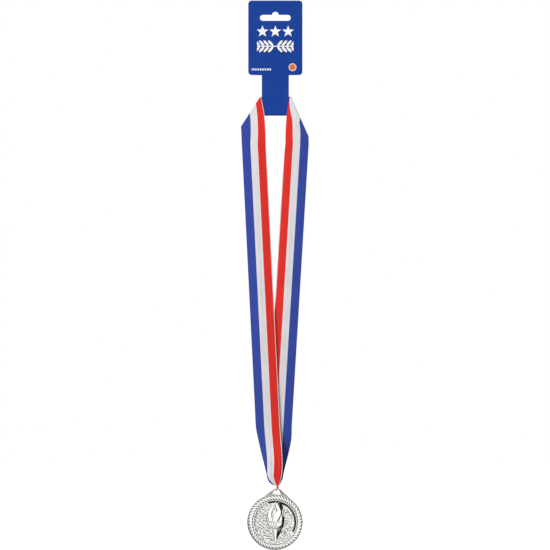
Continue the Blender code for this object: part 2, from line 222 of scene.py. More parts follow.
def apply_modifier(thing, kind, **values):
    """Adds a modifier with the given values and applies it."""
    only(thing)
    modifier = thing.modifiers.new(kind.title(), kind)
    for name, value in values.items():
        setattr(modifier, name, value)
    bpy.ops.object.modifier_apply(modifier=modifier.name)
    return thing


def combine(thing, other, operation):
    """Joins or cuts with a boolean and removes the other object."""
    apply_modifier(thing, "BOOLEAN", object=other, operation=operation, solver="EXACT")
    bpy.data.objects.remove(other, do_unlink=True)
    return thing


def join(things, name):
    """Makes one object of several."""
    only(things[0])
    for thing in things:
        thing.select_set(True)
    bpy.ops.object.join()
    return start(name)


def outward(thing):
    """Merges doubles and turns every face outwards."""
    only(thing)
    bpy.ops.object.mode_set(mode="EDIT")
    bpy.ops.mesh.select_all(action="SELECT")
    bpy.ops.mesh.remove_doubles(threshold=0.000001)
    bpy.ops.mesh.normals_make_consistent(inside=False)
    leave_edit()
    return thing


def smooth(thing, degrees=35):
    only(thing)
    bpy.ops.object.shade_smooth_by_angle(angle=math.radians(degrees))
    return thing


def give(thing, finish):
    thing.data.materials.clear()
    thing.data.materials.append(finish)
    return thing


def between(a, b, share):
    return a + (b - a) * share


def ease(share):
    share = min(max(share, 0.0), 1.0)
    return share * share * (3 - 2 * share)


def along_stations(stations, share):
    """A smooth value through given stations, each (share, value)."""
    for i in range(len(stations) - 1):
        s0, v0 = stations[i]
        s1, v1 = stations[i + 1]
        if share <= s1 or i == len(stations) - 2:
            before = stations[max(i - 1, 0)]
            after = stations[min(i + 2, len(stations) - 1)]
            slope0 = (v1 - before[1]) / max(s1 - before[0], 1e-9)
            slope1 = (after[1] - v0) / max(after[0] - s0, 1e-9)
            step = s1 - s0
            t = min(max((share - s0) / step, 0.0), 1.0)
            return (
                (2 * t ** 3 - 3 * t ** 2 + 1) * v0
                + (t ** 3 - 2 * t ** 2 + t) * step * slope0
                + (-2 * t ** 3 + 3 * t ** 2) * v1
                + (t ** 3 - t ** 2) * step * slope1
            )
    return stations[-1][1]


# ---------------------------------------------------------------- node helpers

class Graph:
    """Short ways to add and link nodes in one node tree."""

    def __init__(self, tree):
        self.tree = tree

    def add(self, kind, **values):
        node = self.tree.nodes.new(kind)
        for name, value in values.items():
            setattr(node, name, value)
        return node

    def feed(self, socket, value):
        if isinstance(value, bpy.types.NodeSocket):
            self.tree.links.new(value, socket)
        else:
            socket.default_value = value

    def math(self, operation, *values):
        node = self.add("ShaderNodeMath", operation=operation)
        for socket, value in zip(node.inputs, values):
            self.feed(socket, value)
        return node.outputs[0]

    def plus(self, a, b):
        return self.math("ADD", a, b)

    def minus(self, a, b):
        return self.math("SUBTRACT", a, b)

    def times(self, a, b):
        return self.math("MULTIPLY", a, b)

    def under(self, a, b):
        """1 where a is less than b, and 0 elsewhere."""
        return self.math("LESS_THAN", a, b)

    def size(self, a):
        return self.math("ABSOLUTE", a)

    def squares(self, a, b):
        """The sum of two squares."""
        return self.plus(self.times(a, a), self.times(b, b))

    def mix(self, factor, a, b):
        node = self.add("ShaderNodeMix", data_type="RGBA")
        self.feed(node.inputs[0], factor)
        for socket, value in ((node.inputs[6], a), (node.inputs[7], b)):
            self.feed(socket, value if isinstance(value, bpy.types.NodeSocket) else (*value, 1.0))
        return node.outputs[2]

    def ramp(self, value, low, high, to_low=0.0, to_high=1.0):
        node = self.add("ShaderNodeMapRange", clamp=True)
        for socket, number in zip(node.inputs, (value, low, high, to_low, to_high)):
            self.feed(socket, number)
        return node.outputs[0]

    def group(self, tree, **values):
        node = self.add("ShaderNodeGroup", node_tree=tree)
        for name, value in values.items():
            self.feed(node.inputs[name.replace("_", " ")], value)
        return node.outputs

    def mottle(self, groups, vector, scale, low, high):
        """An uneven value between low and high."""
        return self.group(groups["mottle"], Vector=vector, Scale=scale, Low=low, High=high)["Value"]

    def noise(self, vector, scale, detail=3.0):
        node = self.add("ShaderNodeTexNoise")
        self.feed(node.inputs["Vector"], vector)
        self.feed(node.inputs["Scale"], scale)
        self.feed(node.inputs["Detail"], detail)
        return node.outputs[0]

    def split(self, vector):
        node = self.add("ShaderNodeSeparateXYZ")
        self.feed(node.inputs[0], vector)
        return node.outputs

    def bump(self, height, strength, distance):
        node = self.add("ShaderNodeBump")
        self.feed(node.inputs["Height"], height)
        node.inputs["Strength"].default_value = strength
        node.inputs["Distance"].default_value = distance
        return node.outputs[0]


def shader_group(name, values, outputs):
    """A new shader node group with a Vector input, the given values by name, and plain outputs."""
    tree = bpy.data.node_groups.new(name, "ShaderNodeTree")
    tree.interface.new_socket("Vector", in_out="INPUT", socket_type="NodeSocketVector")
    for label, default in values.items():
        socket = tree.interface.new_socket(label, in_out="INPUT", socket_type="NodeSocketFloat")
        socket.default_value = default
    for label in outputs:
        tree.interface.new_socket(label, in_out="OUTPUT", socket_type="NodeSocketFloat")
    graph = Graph(tree)
    return tree, graph, graph.add("NodeGroupInput").outputs, graph.add("NodeGroupOutput").inputs


def mottle_group():
    """Slow and fine unevenness for roughness: a value between Low and High."""
    values = {"Scale": 200.0, "Low": 0.3, "High": 0.5}
    tree, g, given, out = shader_group("surface_mottle", values, ("Value",))
    broad = g.noise(given["Vector"], given["Scale"], 2.0)
    fine = g.noise(given["Vector"], g.times(given["Scale"], 9.0), 2.0)
    both = g.plus(g.times(broad, 0.65), g.times(fine, 0.35))
    g.feed(out["Value"], g.ramp(both, 0.30, 0.70, given["Low"], given["High"]))
    return tree


def weave_group():
    """Woven thread on a strip's own UV map, in metres: a height and a slight shade."""
    tree, g, given, out = shader_group("woven_thread", {"Pitch": 0.4 * MM}, ("Height", "Shade"))
    across, run, _ = g.split(given["Vector"])
    turn = g.math("DIVIDE", 2 * math.pi, given["Pitch"])
    rib = g.math("SINE", g.times(run, turn))
    warp = g.math("SINE", g.times(across, g.times(turn, 1.35)))
    crossed = g.times(g.times(rib, warp), 0.5)
    plain = g.plus(crossed, g.times(rib, 0.5))
    slub = g.noise(given["Vector"], 900.0, 2.0)
    height = g.plus(g.times(plain, 0.4), slub)
    g.feed(out["Height"], height)
    streaks = g.add("ShaderNodeMapping")
    g.feed(streaks.inputs["Vector"], given["Vector"])
    streaks.inputs["Scale"].default_value = (900.0, 12.0, 1.0)
    g.feed(out["Shade"], g.ramp(g.noise(streaks.outputs[0], 1.0, 3.0), 0.3, 0.7, 0.93, 1.05))
    return tree


def star_group():
    """A five-pointed star about the vector's origin, point up: 1 inside, 0 outside."""
    tree, g, given, out = shader_group("printed_star", {"Radius": 5.0 * MM}, ("Mask",))
    x, _, z = g.split(given["Vector"])
    angle = g.math("ARCTAN2", x, z)
    fifth = 2 * math.pi / 5
    wrapped = g.math("MODULO", g.plus(angle, fifth * 5.5), fifth)
    folded = g.size(g.minus(wrapped, fifth / 2))
    reach = g.math("SQRT", g.squares(x, z))
    # The edge from a point to the notch beside it is a straight line in the folded wedge
    notch = 0.42
    edge = Vector((notch * math.cos(fifth / 2) - 1, notch * math.sin(fifth / 2))).normalized()
    normal = Vector((edge.y, -edge.x))
    along = g.times(g.math("COSINE", folded), normal.x)
    beside = g.times(g.math("SINE", folded), normal.y)
    depth = g.times(reach, g.plus(along, beside))
    limit = g.times(given["Radius"], normal.x)
    g.feed(out["Mask"], g.under(depth, limit))
    return tree


def material(name):
    """A new material, its graph and its Principled shader."""
    made = bpy.data.materials.new(name)
    made.use_nodes = True
    graph = Graph(made.node_tree)
    return made, graph, made.node_tree.nodes["Principled BSDF"].inputs


# How the ribbon's width is shared out, from its blue edge; the red stripe has the rest
BLUE_SHARE = 0.355
WHITE_SHARE = 0.295


def ribbon_material(settings, groups):
    """Three woven stripes across the strip's UV map, with a pale selvedge beside the red."""
    made, g, shader = material("ribbon_satin")
    uv = g.add("ShaderNodeUVMap", uv_map="strip").outputs[0]
    across, _, _ = g.split(uv)
    weave = g.group(groups["weave"], Vector=uv, Pitch=settings.rib_pitch)
    jag = g.times(g.minus(g.noise(uv, 2200.0, 1.0), 0.5), 0.8 * MM)
    place = g.plus(across, jag)
    blue_edge = settings.width * BLUE_SHARE
    red_edge = settings.width * (BLUE_SHARE + WHITE_SHARE)
    soft = 0.12 * MM
    blue, white, red = (tuple(stripe) for stripe in (settings.blue, settings.white, settings.red))
    tone = g.mix(g.ramp(place, blue_edge - soft, blue_edge + soft), blue, white)
    tone = g.mix(g.ramp(place, red_edge - soft, red_edge + soft), tone, red)
    for border in (blue_edge + 0.35 * MM, red_edge - 0.35 * MM):
        off = g.size(g.minus(place, border))
        tone = g.mix(g.ramp(off, 0.2 * MM, 0.45 * MM, 0.7, 0.0), tone, (0.88, 0.86, 0.87))
    edge = settings.width - settings.selvedge
    tone = g.mix(g.ramp(place, edge - soft, edge + soft), tone, (0.80, 0.70, 0.71))
    shaded = g.add("ShaderNodeMix", data_type="RGBA", blend_type="MULTIPLY")
    shaded.inputs[0].default_value = 1.0
    g.feed(shaded.inputs[6], tone)
    grey = g.add("ShaderNodeCombineColor")
    broad = g.ramp(g.noise(uv, 38.0, 2.0), 0.3, 0.7, 0.95, 1.05)
    shade = g.times(weave["Shade"], broad)
    for socket in grey.inputs[:3]:
        g.feed(socket, shade)
    g.feed(shaded.inputs[7], grey.outputs[0])
    g.feed(shader["Base Color"], shaded.outputs[2])
    g.feed(shader["Roughness"], g.mottle(groups, uv, 300.0, 0.48, 0.66))
    g.feed(shader["Normal"], g.bump(weave["Height"], 0.35, 0.12 * MM))
    shader["Sheen Weight"].default_value = 0.12
    shader["Sheen Roughness"].default_value = 0.4
    shader["Specular IOR Level"].default_value = 0.2
    return made


# The printed card: how far each mark lies below the header's top, and its size
STAR_DROP = 28.6 * MM
LAUREL_DROP = 42.0 * MM
LAUREL_REACH = 16.6 * MM
LEAF_PITCH = 4.1 * MM
LEAF_RISE = 2.9 * MM
LEAF_HALF = (1.45 * MM, 2.5 * MM)
LEAF_LEAN = 0.75
STEM_HALF = 0.45 * MM
SHADOW_DROP = 0.75 * MM
SEAL_X = 15.6 * MM
SEAL_DROP = 61.0 * MM
SEAL_R = 3.5 * MM
SEAL_INNER_R = 2.8 * MM
TICKS_X = -12.8 * MM
TICKS_DROP = 63.0 * MM
TICKS_HALF = (9.0 * MM, 0.9 * MM)
TICK_PITCH = 2.2 * MM
TICK_W = 1.5 * MM
# Half the card's thickness; the front panel's middle lies at depth 0
CARD_HALF = 0.2 * MM


def card_material(settings, groups):
    """Blue print with stars, a laurel, a seal and ticks outside; bare board inside and on the cut edges."""
    made, g, shader = material("card_print")
    where = g.add("ShaderNodeTexCoord").outputs["Object"]
    x, y, z = g.split(where)
    normal = g.add("ShaderNodeNewGeometry").outputs["Normal"]
    _, ny, nz = g.split(normal)
    middle = (CARD_LOW.y + rear_panel_y()) / 2
    fold_z = CARD_LOW.z + (CARD_HIGH.y - CARD_LOW.y) / 2
    outwards = g.times(ny, g.minus(y, middle))
    below = g.times(nz, g.math("MINIMUM", g.minus(z, fold_z), 0.0))
    printed = g.math("GREATER_THAN", g.plus(outwards, below), 0.2 * MM)
    front = g.under(ny, -0.5)
    white = motif_mask(g, settings, groups, where, 0.0)
    shadow = motif_mask(g, settings, groups, where, SHADOW_DROP)
    ground = g.mix(g.times(shadow, front), tuple(settings.blue), tuple(settings.shadow))
    ground = g.mix(g.times(white, front), ground, tuple(settings.white))
    ground = seal_and_ticks(g, settings, ground, (x, z), front)
    board = g.mix(g.noise(where, 1800.0), (0.60, 0.59, 0.57), (0.74, 0.73, 0.71))
    blotch = g.noise(where, 60.0, 2.0)
    worn = g.mix(g.ramp(blotch, 0.35, 0.75, 0.0, 0.06), ground, (0.10, 0.20, 0.60))
    g.feed(shader["Base Color"], g.mix(printed, board, worn))
    g.feed(shader["Roughness"], g.mottle(groups, where, 120.0, 0.34, 0.46))
    g.feed(shader["Normal"], g.bump(g.noise(where, 2500.0), 0.12, 0.08 * MM))
    shader["Specular IOR Level"].default_value = 0.12
    return made


def rear_panel_y():
    """The rear panel's front side at the header: as far behind the pad as the front panel is before it."""
    pad_low, pad_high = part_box("card_glue_pad")
    return pad_high.y + pad_low.y - CARD_HALF


def moved(g, vector, x, z):
    """The vector measured from a point on the card."""
    node = g.add("ShaderNodeVectorMath", operation="SUBTRACT")
    g.feed(node.inputs[0], vector)
    node.inputs[1].default_value = (x, 0.0, z)
    return node.outputs[0]


def motif_mask(g, settings, groups, where, drop):
    """Three stars over a laurel branch; drop moves it down and to the right for its shadow."""
    mask = laurel_mask(g, where, drop)
    for place in (-1, 0, 1):
        from_star = moved(g, where, place * settings.star_gap + drop, CARD_HIGH.z - STAR_DROP - drop)
        star = g.group(groups["star"], Vector=from_star, Radius=settings.star_radius)["Mask"]
        mask = g.math("MAXIMUM", mask, star)
    return mask


def laurel_mask(g, where, drop):
    """A level laurel branch that grows both ways from the middle: paired leaves on a stem."""
    x, _, z = g.split(moved(g, where, drop, CARD_HIGH.z - LAUREL_DROP - drop))
    out = g.size(x)
    up = g.size(z)
    inside = g.under(out, LAUREL_REACH)
    leant = g.minus(out, g.times(up, LEAF_LEAN))
    cell = g.minus(g.math("MODULO", leant, LEAF_PITCH), LEAF_PITCH / 2)
    leaf_x = g.math("DIVIDE", cell, LEAF_HALF[0])
    leaf_z = g.math("DIVIDE", g.minus(up, LEAF_RISE), LEAF_HALF[1])
    leaves = g.times(g.under(g.squares(leaf_x, leaf_z), 1.0), inside)
    stem = g.times(g.under(up, STEM_HALF), inside)
    return g.math("MAXIMUM", leaves, stem)


def seal_and_ticks(g, settings, ground, place, front):
    """The small round seal at the lower right and the row of ticks at the lower left."""
    x, z = place
    dx = g.minus(x, SEAL_X)
    dz = g.minus(z, CARD_HIGH.z - SEAL_DROP)
    reach = g.math("SQRT", g.squares(dx, dz))
    for radius, tone in ((SEAL_R, (0.80, 0.78, 0.76)), (SEAL_INNER_R, tuple(settings.roundel))):
        ground = g.mix(g.times(g.under(reach, radius), front), ground, tone)
    high = g.under(g.size(g.minus(z, CARD_HIGH.z - TICKS_DROP)), TICKS_HALF[1])
    wide = g.under(g.size(g.minus(x, TICKS_X)), TICKS_HALF[0])
    # The row is measured from far to the left, so that the remainder is never negative
    ticks = g.under(g.math("MODULO", g.plus(x, 100 * MM), TICK_PITCH), TICK_W)
    marks = g.times(g.times(high, wide), g.times(ticks, front))
    return g.mix(marks, ground, (0.80, 0.82, 0.90))


def metal_material(name, settings, groups, low, high, grain, punched=False):
    """Bright plating: nearly mirror smooth, with faint ripples left by the casting."""
    made, g, shader = material(name)
    where = g.add("ShaderNodeTexCoord").outputs["Object"]
    tint = g.noise(where, 260.0)
    silver = tuple(settings.silver)
    tone = g.mix(g.ramp(tint, 0.3, 0.7), silver, tuple(c * 0.94 for c in silver))
    g.feed(shader["Roughness"], g.mottle(groups, where, 350.0, low, high))
    normal = g.bump(g.noise(where, 1100.0, 2.0), grain, 0.15 * MM)
    if punched:
        cells = g.add("ShaderNodeTexVoronoi", feature="SMOOTH_F1")
        cells.inputs["Smoothness"].default_value = 0.3
        g.feed(cells.inputs["Vector"], where)
        g.feed(cells.inputs["Scale"], 1 / settings.stipple)
        dents = g.add("ShaderNodeBump")
        g.feed(dents.inputs["Height"], cells.outputs["Distance"])
        dents.inputs["Strength"].default_value = 1.0
        dents.inputs["Distance"].default_value = settings.stipple_depth * 2.5
        g.feed(dents.inputs["Normal"], normal)
        normal = dents.outputs[0]
        low_spots = g.ramp(cells.outputs["Distance"], 0.42, 0.68)
        tone = g.mix(low_spots, tone, (0.48, 0.48, 0.47))
    g.feed(shader["Base Color"], tone)
    g.feed(shader["Normal"], normal)
    shader["Metallic"].default_value = 1.0
    return made


def plain_material(name, groups, speckle, tones, gloss, bump, metallic=0.0):
    """Two tones in fine specks. Gloss is (scale, low, high); bump is (noise scale, strength, depth)."""
    made, g, shader = material(name)
    where = g.add("ShaderNodeTexCoord").outputs["Object"]
    scale, strength, depth = bump
    if scale:
        height = g.noise(where, scale)
    else:
        # No scale: the bump follows a thread's weave
        height = g.group(groups["weave"], Vector=where, Pitch=0.3 * MM)["Height"]
    g.feed(shader["Base Color"], g.mix(g.noise(where, speckle), *tones))
    g.feed(shader["Roughness"], g.mottle(groups, where, *gloss))
    g.feed(shader["Normal"], g.bump(height, strength, depth))
    shader["Metallic"].default_value = metallic
    return made


def darkened_plate_material(name, groups, dark, light):
    """Darker, duller plating: painted shade on the rope groove's floor and on the eye's web, and a satin
    finish on the back.
    """
    return plain_material(name, groups, 900.0, (dark, light), (500.0, 0.3, 0.5), (1500.0, 0.3, 0.2 * MM), 1.0)


FINISHES = {}


def finishes():
    """Every material by name, made once."""
    if FINISHES:
        return FINISHES
    scene = bpy.context.scene
    metal = scene.medal_metal
    groups = {"mottle": mottle_group(), "weave": weave_group(), "star": star_group()}
    thread_tones = ((0.72, 0.72, 0.74), (0.86, 0.86, 0.86))
    glue_tones = ((0.74, 0.70, 0.58), (0.85, 0.82, 0.72))
    thread_gloss, thread_bump = (900.0, 0.6, 0.75), (None, 0.5, 0.1 * MM)
    glue_gloss, glue_bump = (400.0, 0.35, 0.55), (700.0, 0.3, 0.2 * MM)
    made = {
        "ribbon": ribbon_material(scene.medal_ribbon, groups),
        "card": card_material(scene.medal_card, groups),
        "silver": metal_material("bright_silver_plate", metal, groups, 0.05, 0.12, 0.10),
        "field": metal_material("stippled_silver_plate", metal, groups, 0.08, 0.16, 0.3, True),
        "thread": plain_material("sewing_thread", groups, 4000.0, thread_tones, thread_gloss, thread_bump),
        "glue": plain_material("dried_glue", groups, 500.0, glue_tones, glue_gloss, glue_bump),
    }
    for key, name, dark, light in (
        # Darker plating on the rope groove's floor: painted shade between the strands
        ("recess", "groove_painted_shade_plate", (0.16, 0.16, 0.155), (0.40, 0.40, 0.39)),
        ("back", "satin_silver_plate", (0.46, 0.46, 0.45), (0.58, 0.58, 0.56)),
        # Darker plating on the eye's web: painted shade, so that the web stands apart from its bright beads
        ("web", "eye_painted_shade_plate", (0.20, 0.20, 0.195), (0.50, 0.50, 0.49)),
    ):
        made[key] = darkened_plate_material(name, groups, dark, light)
    FINISHES.update(made)
    return FINISHES


# ---------------------------------------------------------------- ribbon

# Each side of the ribbon: where its gather starts, sideways and in depth; the foot of its slanting fold,
# from the card's middle and below its neck; and how its blue side is packed along the fold
SIDES = {
    -1: {"name": "left", "gather": (-6.8 * MM, -1.75 * MM), "fold": (31.1 * MM, 10.3 * MM), "crowd": 0.42},
    1: {"name": "right", "gather": (4.0 * MM, 1.55 * MM), "fold": (30.1 * MM, 19.3 * MM), "crowd": -0.3},
}
GATHER_HEIGHT = 55.0 * MM
LEG_STEPS = 34
RISE_STEPS = 24
FOLD_STEPS = 14
RUN_STEPS = 9
NECK_HALF = 12.25 * MM
RIBBON_RUN_H = 20.4 * MM
LAP_HALF = 9.5 * MM
SHOULDER_RISE = 16.9 * MM
SHOULDER_CLEAR = 0.8 * MM
# The right side's red edge turns under near its fold: height, and the width left showing, in millimetres
RED_SHOWING = ((-150.0, 22.0), (-128.0, 21.6), (-107.3, 20.2), (-93.7, 18.6), (-83.7, 15.2), (-77.4, 14.4))

SECTION_POINTS = 49
SECTION_FINE = 5
CURL_POWER = 2.6
CURL_BEGUN = 0.12
CURL_HELD = 0.822
CURL_MOST = 12.0
# Each leg from the top of its gather down to the bunch: sideways limits and front, in millimetres
FRONT_LEG = {
    "left": (
        (0.0, -17.8), (0.09, -17.1), (0.245, -15.3), (0.575, -11.1), (0.822, -7.5), (0.938, -3.3), (1.0, 0.6),
    ),
    "right": ((0.0, 4.2), (0.09, 4.5), (0.245, 5.2), (0.575, 6.5), (0.822, 5.9), (0.938, 4.1), (1.0, 3.0)),
    "front": ((0.0, -1.75), (0.3, -2.9), (0.6, -4.4), (0.8, -4.5), (0.92, -3.7), (1.0, -2.7)),
}
REAR_LEG = {
    "left": ((0.0, -7.0), (0.245, -8.0), (0.575, -7.3), (0.822, -5.2), (0.938, -2.4), (1.0, 0.6)),
    "right": ((0.0, 15.0), (0.245, 14.4), (0.575, 10.6), (0.822, 7.3), (0.938, 5.2), (1.0, 3.0)),
    "front": ((0.0, 1.55), (0.3, 1.3), (0.6, 1.2), (0.8, 1.2), (0.92, 1.2), (1.0, 1.2)),
}
# How far the rear leg's red and blue edges are turned away, in radians
REAR_RED_TURN = ((0.0, 0.0), (0.245, 0.0), (0.575, 0.05), (0.822, 0.5), (1.0, 0.9))
REAR_BLUE_TURN = ((0.0, 0.0), (0.245, 0.15), (0.575, 0.9), (0.822, 1.2), (1.0, 1.4))
CURL_FLATTENED = 0.78
PLEAT_DEPTH = 0.32 * MM
PLEAT_TURNS = 31.0
PEEK = 2.3 * MM
REAR_ROLL_FROM = 0.85
# The bunch's side towards the eye's bar, in front of and behind the bar's middle
BUNCH_INNER = 1.2 * MM


def strip_object(name, rows, settings):
    """A woven strip through rows of points. Each row is (points, share of the width at each point, run)."""
    verts = []
    shares = []
    for points, across, run in rows:
        verts += points
        shares += [(share * settings.width, run) for share in across]
    count = len(rows[0][0])
    faces = []
    for row in range(len(rows) - 1):
        for i in range(count - 1):
            a = row * count + i
            faces.append((a, a + 1, a + count + 1, a + count))
    mesh = bpy.data.meshes.new(name)
    mesh.from_pydata(verts, [], faces)
    layer = mesh.uv_layers.new(name="strip")
    for loop in mesh.loops:
        layer.data[loop.index].uv = shares[loop.vertex_index]
    thing = bpy.data.objects.new(name, mesh)
    bpy.context.scene.collection.objects.link(thing)
    apply_modifier(thing, "SOLIDIFY", thickness=settings.thickness, offset=0.0)
    outward(thing)
    return smooth(give(thing, finishes()["ribbon"]), 60)


def straight_row(blue, red, settings, share_red=1.0, count=17, bow=1.0, crowd=0.0):
    """Points from the blue edge to the red one, bowed a little towards the front; crowd packs one side."""
    points = []
    across = []
    for i in range(count):
        share = i / (count - 1)
        cup = settings.cup * bow * (1 - (2 * share - 1) ** 2)
        points.append(between(blue, red, share + crowd * share * (1 - share)) - Vector((0, cup, 0)))
        across.append(share * share_red)
    return points, across


def with_runs(rows):
    """Adds to each row how far along the ribbon it lies, measured down the ribbon's middle."""
    done = []
    run = 0.0
    before = None
    for points, across in rows:
        middle = points[len(points) // 2]
        if before:
            run += (middle - before).length
        done.append((points, across, run))
        before = middle
    return done


def side_box(side, part):
    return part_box("ribbon_%s_%s" % (SIDES[side]["name"], part))


def gather_foot():
    """The height at which the legs end in the rolled bunch."""
    return side_box(-1, "leg")[0].z


def gather_top():
    return gather_foot() + GATHER_HEIGHT


def leg_top(side):
    """The middle of a leg's top, sideways and in height."""
    low, high = side_box(side, "leg")
    half = bpy.context.scene.medal_ribbon.width / 2
    return low.x + half if side < 0 else high.x - half, high.z


def shoulder_layers(side):
    """Depths of the ribbon's front layer and of its run behind the neck."""
    low, high = side_box(side, "shoulder")
    half = 0.175 * MM
    return low.y + half, high.y - half


def leg_middle(side, z):
    """The middle of a hanging leg at a height above the gather, with the leg's own slow ripple in depth."""
    top_x, top_z = leg_top(side)
    gather_x, gather_y = SIDES[side]["gather"]
    share = (top_z - z) / (top_z - gather_top())
    held = min(max(share, 0.0), 1.0)
    ripple = 0.5 * MM * math.sin(held * math.pi) * math.sin(held * 9.0 + side)
    deep = between(shoulder_layers(side)[0], gather_y, share)
    return Vector((between(top_x, gather_x, share), deep, z)) + Vector((0, ripple, 0))


def leg_row(side, z, settings, share_red=1.0, count=17):
    middle = leg_middle(side, z)
    half = Vector((settings.width / 2, 0, 0))
    blue = middle + half * side
    red = middle - half * side
    if share_red < 1.0:
        red = between(blue, red, share_red)
    return straight_row(blue, red, settings, share_red, count)


def tuck(side, z, settings):
    """The share of the width that shows where the red edge lies at height z."""
    if side < 0 or z < RED_SHOWING[0][0] * MM:
        return 1.0
    return min(1.0, along_stations(RED_SHOWING, z / MM) * MM / settings.width)


def shoulder_rows(side, settings):
    """From the leg's split up to the slanting fold, over it, and behind the neck to the lapped end."""
    front_y = shoulder_layers(side)[0]
    fold_x, fold_drop = SIDES[side]["fold"]
    foot = Vector((side * fold_x, front_y, CARD_LOW.z - fold_drop))
    head = Vector((side * (NECK_HALF + SHOULDER_CLEAR), front_y, CARD_LOW.z + SHOULDER_RISE))
    start_z = FLEX_Z - 2 * MM
    heights = [between(settings.split_z, start_z, i / LEG_STEPS) for i in range(LEG_STEPS)]
    rows = [leg_row(side, z, settings, tuck(side, z, settings)) for z in heights]
    rows += rising_rows(side, settings, start_z, foot, head)
    rows += folding_rows(side, settings, foot, head)
    rows += hidden_rows(side, settings, foot, head)
    return rows


def rising_rows(side, settings, start_z, foot, head):
    """The front layer, from the leg's top out to the slanting fold."""
    first, _ = leg_row(side, start_z, settings, tuck(side, start_z, settings))
    start_blue, start_red = first[0], first[-1]
    bend = Vector((start_red.x + side * 0.1 * MM, foot.y, CARD_LOW.z + 1.0 * MM))
    rows = []
    for i in range(RISE_STEPS):
        share = i / RISE_STEPS
        blue = between(start_blue, foot, share)
        red = between(between(start_red, bend, share), between(bend, head, share), share)
        narrow = tuck(side, red.z, settings)
        crowd = SIDES[side]["crowd"] * share
        rows.append(straight_row(blue, red, settings, narrow, bow=1 - share, crowd=crowd))
    return rows


def folding_rows(side, settings, foot, head):
    """The half turn over the fold, from the front layer to the back one."""
    front_y, back_y = shoulder_layers(side)
    radius = (back_y - front_y) / 2
    along = (head - foot).normalized()
    out = Vector((side * abs(along.z), 0, abs(along.x)))
    narrow = tuck(side, head.z, settings)
    rows = []
    for i in range(FOLD_STEPS + 1):
        angle = math.pi * i / FOLD_STEPS
        deep = Vector((0, radius * (1 - math.cos(angle)), 0))
        beyond = out * (radius * math.sin(angle))
        blue = foot + beyond * 0.2 + deep
        red = head + beyond + deep
        rows.append(straight_row(blue, red, settings, narrow, bow=0.0, crowd=SIDES[side]["crowd"]))
    return rows


def hidden_rows(side, settings, foot, head):
    """Behind the card's neck: in to the neck's edge, opening out, then on to the lapped end."""
    front_y, back_y = shoulder_layers(side)
    back = Vector((0, back_y - front_y, 0))
    blue = foot + back
    red = head + back
    run_top = side_box(side, "shoulder")[1].z
    run_foot = run_top - RIBBON_RUN_H
    edge_x = side * NECK_HALF
    edge_blue = Vector((edge_x, back_y, run_foot))
    edge_red = Vector((edge_x * 0.8, back_y, between(head.z, run_top, 0.5)))
    end_blue = Vector((-side * LAP_HALF, back_y, run_foot))
    end_red = Vector((-side * LAP_HALF, back_y, run_top))
    narrow = tuck(side, head.z, settings)
    opening = []
    level_run = []
    for i in range(1, RUN_STEPS + 1):
        share = i / RUN_STEPS
        wide = between(narrow, 1.0, share)
        crowd = SIDES[side]["crowd"] * (1 - share)
        inward = (between(blue, edge_blue, share), between(red, edge_red, share))
        opening.append(straight_row(*inward, settings, wide, bow=0.0, crowd=crowd))
        onward = (between(edge_blue, end_blue, share), between(edge_red, end_red, share))
        level_run.append(straight_row(*onward, settings, bow=0.0))
    return opening + level_run


def section_of(headings):
    """A strip of width 1 seen on end, its red edge at the origin: (sideways, depth), blue edge first."""
    points = [(0.0, 0.0)]
    x = y = 0.0
    steps = (SECTION_POINTS - 1) * SECTION_FINE
    for i in range(steps):
        heading = headings((i + 0.5) / steps)
        x -= math.cos(heading) / steps
        y += math.sin(heading) / steps
        if (i + 1) % SECTION_FINE == 0:
            points.append((x, y))
    points.reverse()
    return points


def spread(section):
    """The least and greatest sideways place and depth of a section."""
    sideways = [a for a, _ in section]
    depths = [b for _, b in section]
    return min(sideways), max(sideways), min(depths), max(depths)


def curled(turn):
    """A section whose blue side rolls backwards by this angle."""
    return section_of(lambda s: turn * s ** CURL_POWER)


def curl_for(width):
    """The angle by which the blue side rolls for the strip to look this wide."""
    low, high = 0.0, CURL_MOST
    for _ in range(18):
        turn = (low + high) / 2
        a0, a1, _, _ = spread(curled(turn))
        if a1 - a0 > width:
            low = turn
        else:
            high = turn
    return turn


def front_section(share):
    """The front leg's section: rolled to suit its limits, and no further once the bunch begins."""
    held = min(max(share, CURL_BEGUN), CURL_HELD)
    left, right = (along_stations(FRONT_LEG[key], held) for key in ("left", "right"))
    width = bpy.context.scene.medal_ribbon.width / MM
    return curled(curl_for(min((right - left) / width, 1.0)) * ease(share / CURL_BEGUN))


def rear_section(share):
    """The rear leg's section, turned away a little at both edges."""
    red = along_stations(REAR_RED_TURN, share)
    blue = along_stations(REAR_BLUE_TURN, share)
    return section_of(lambda s: between(red, blue, ease(s * 1.15)))


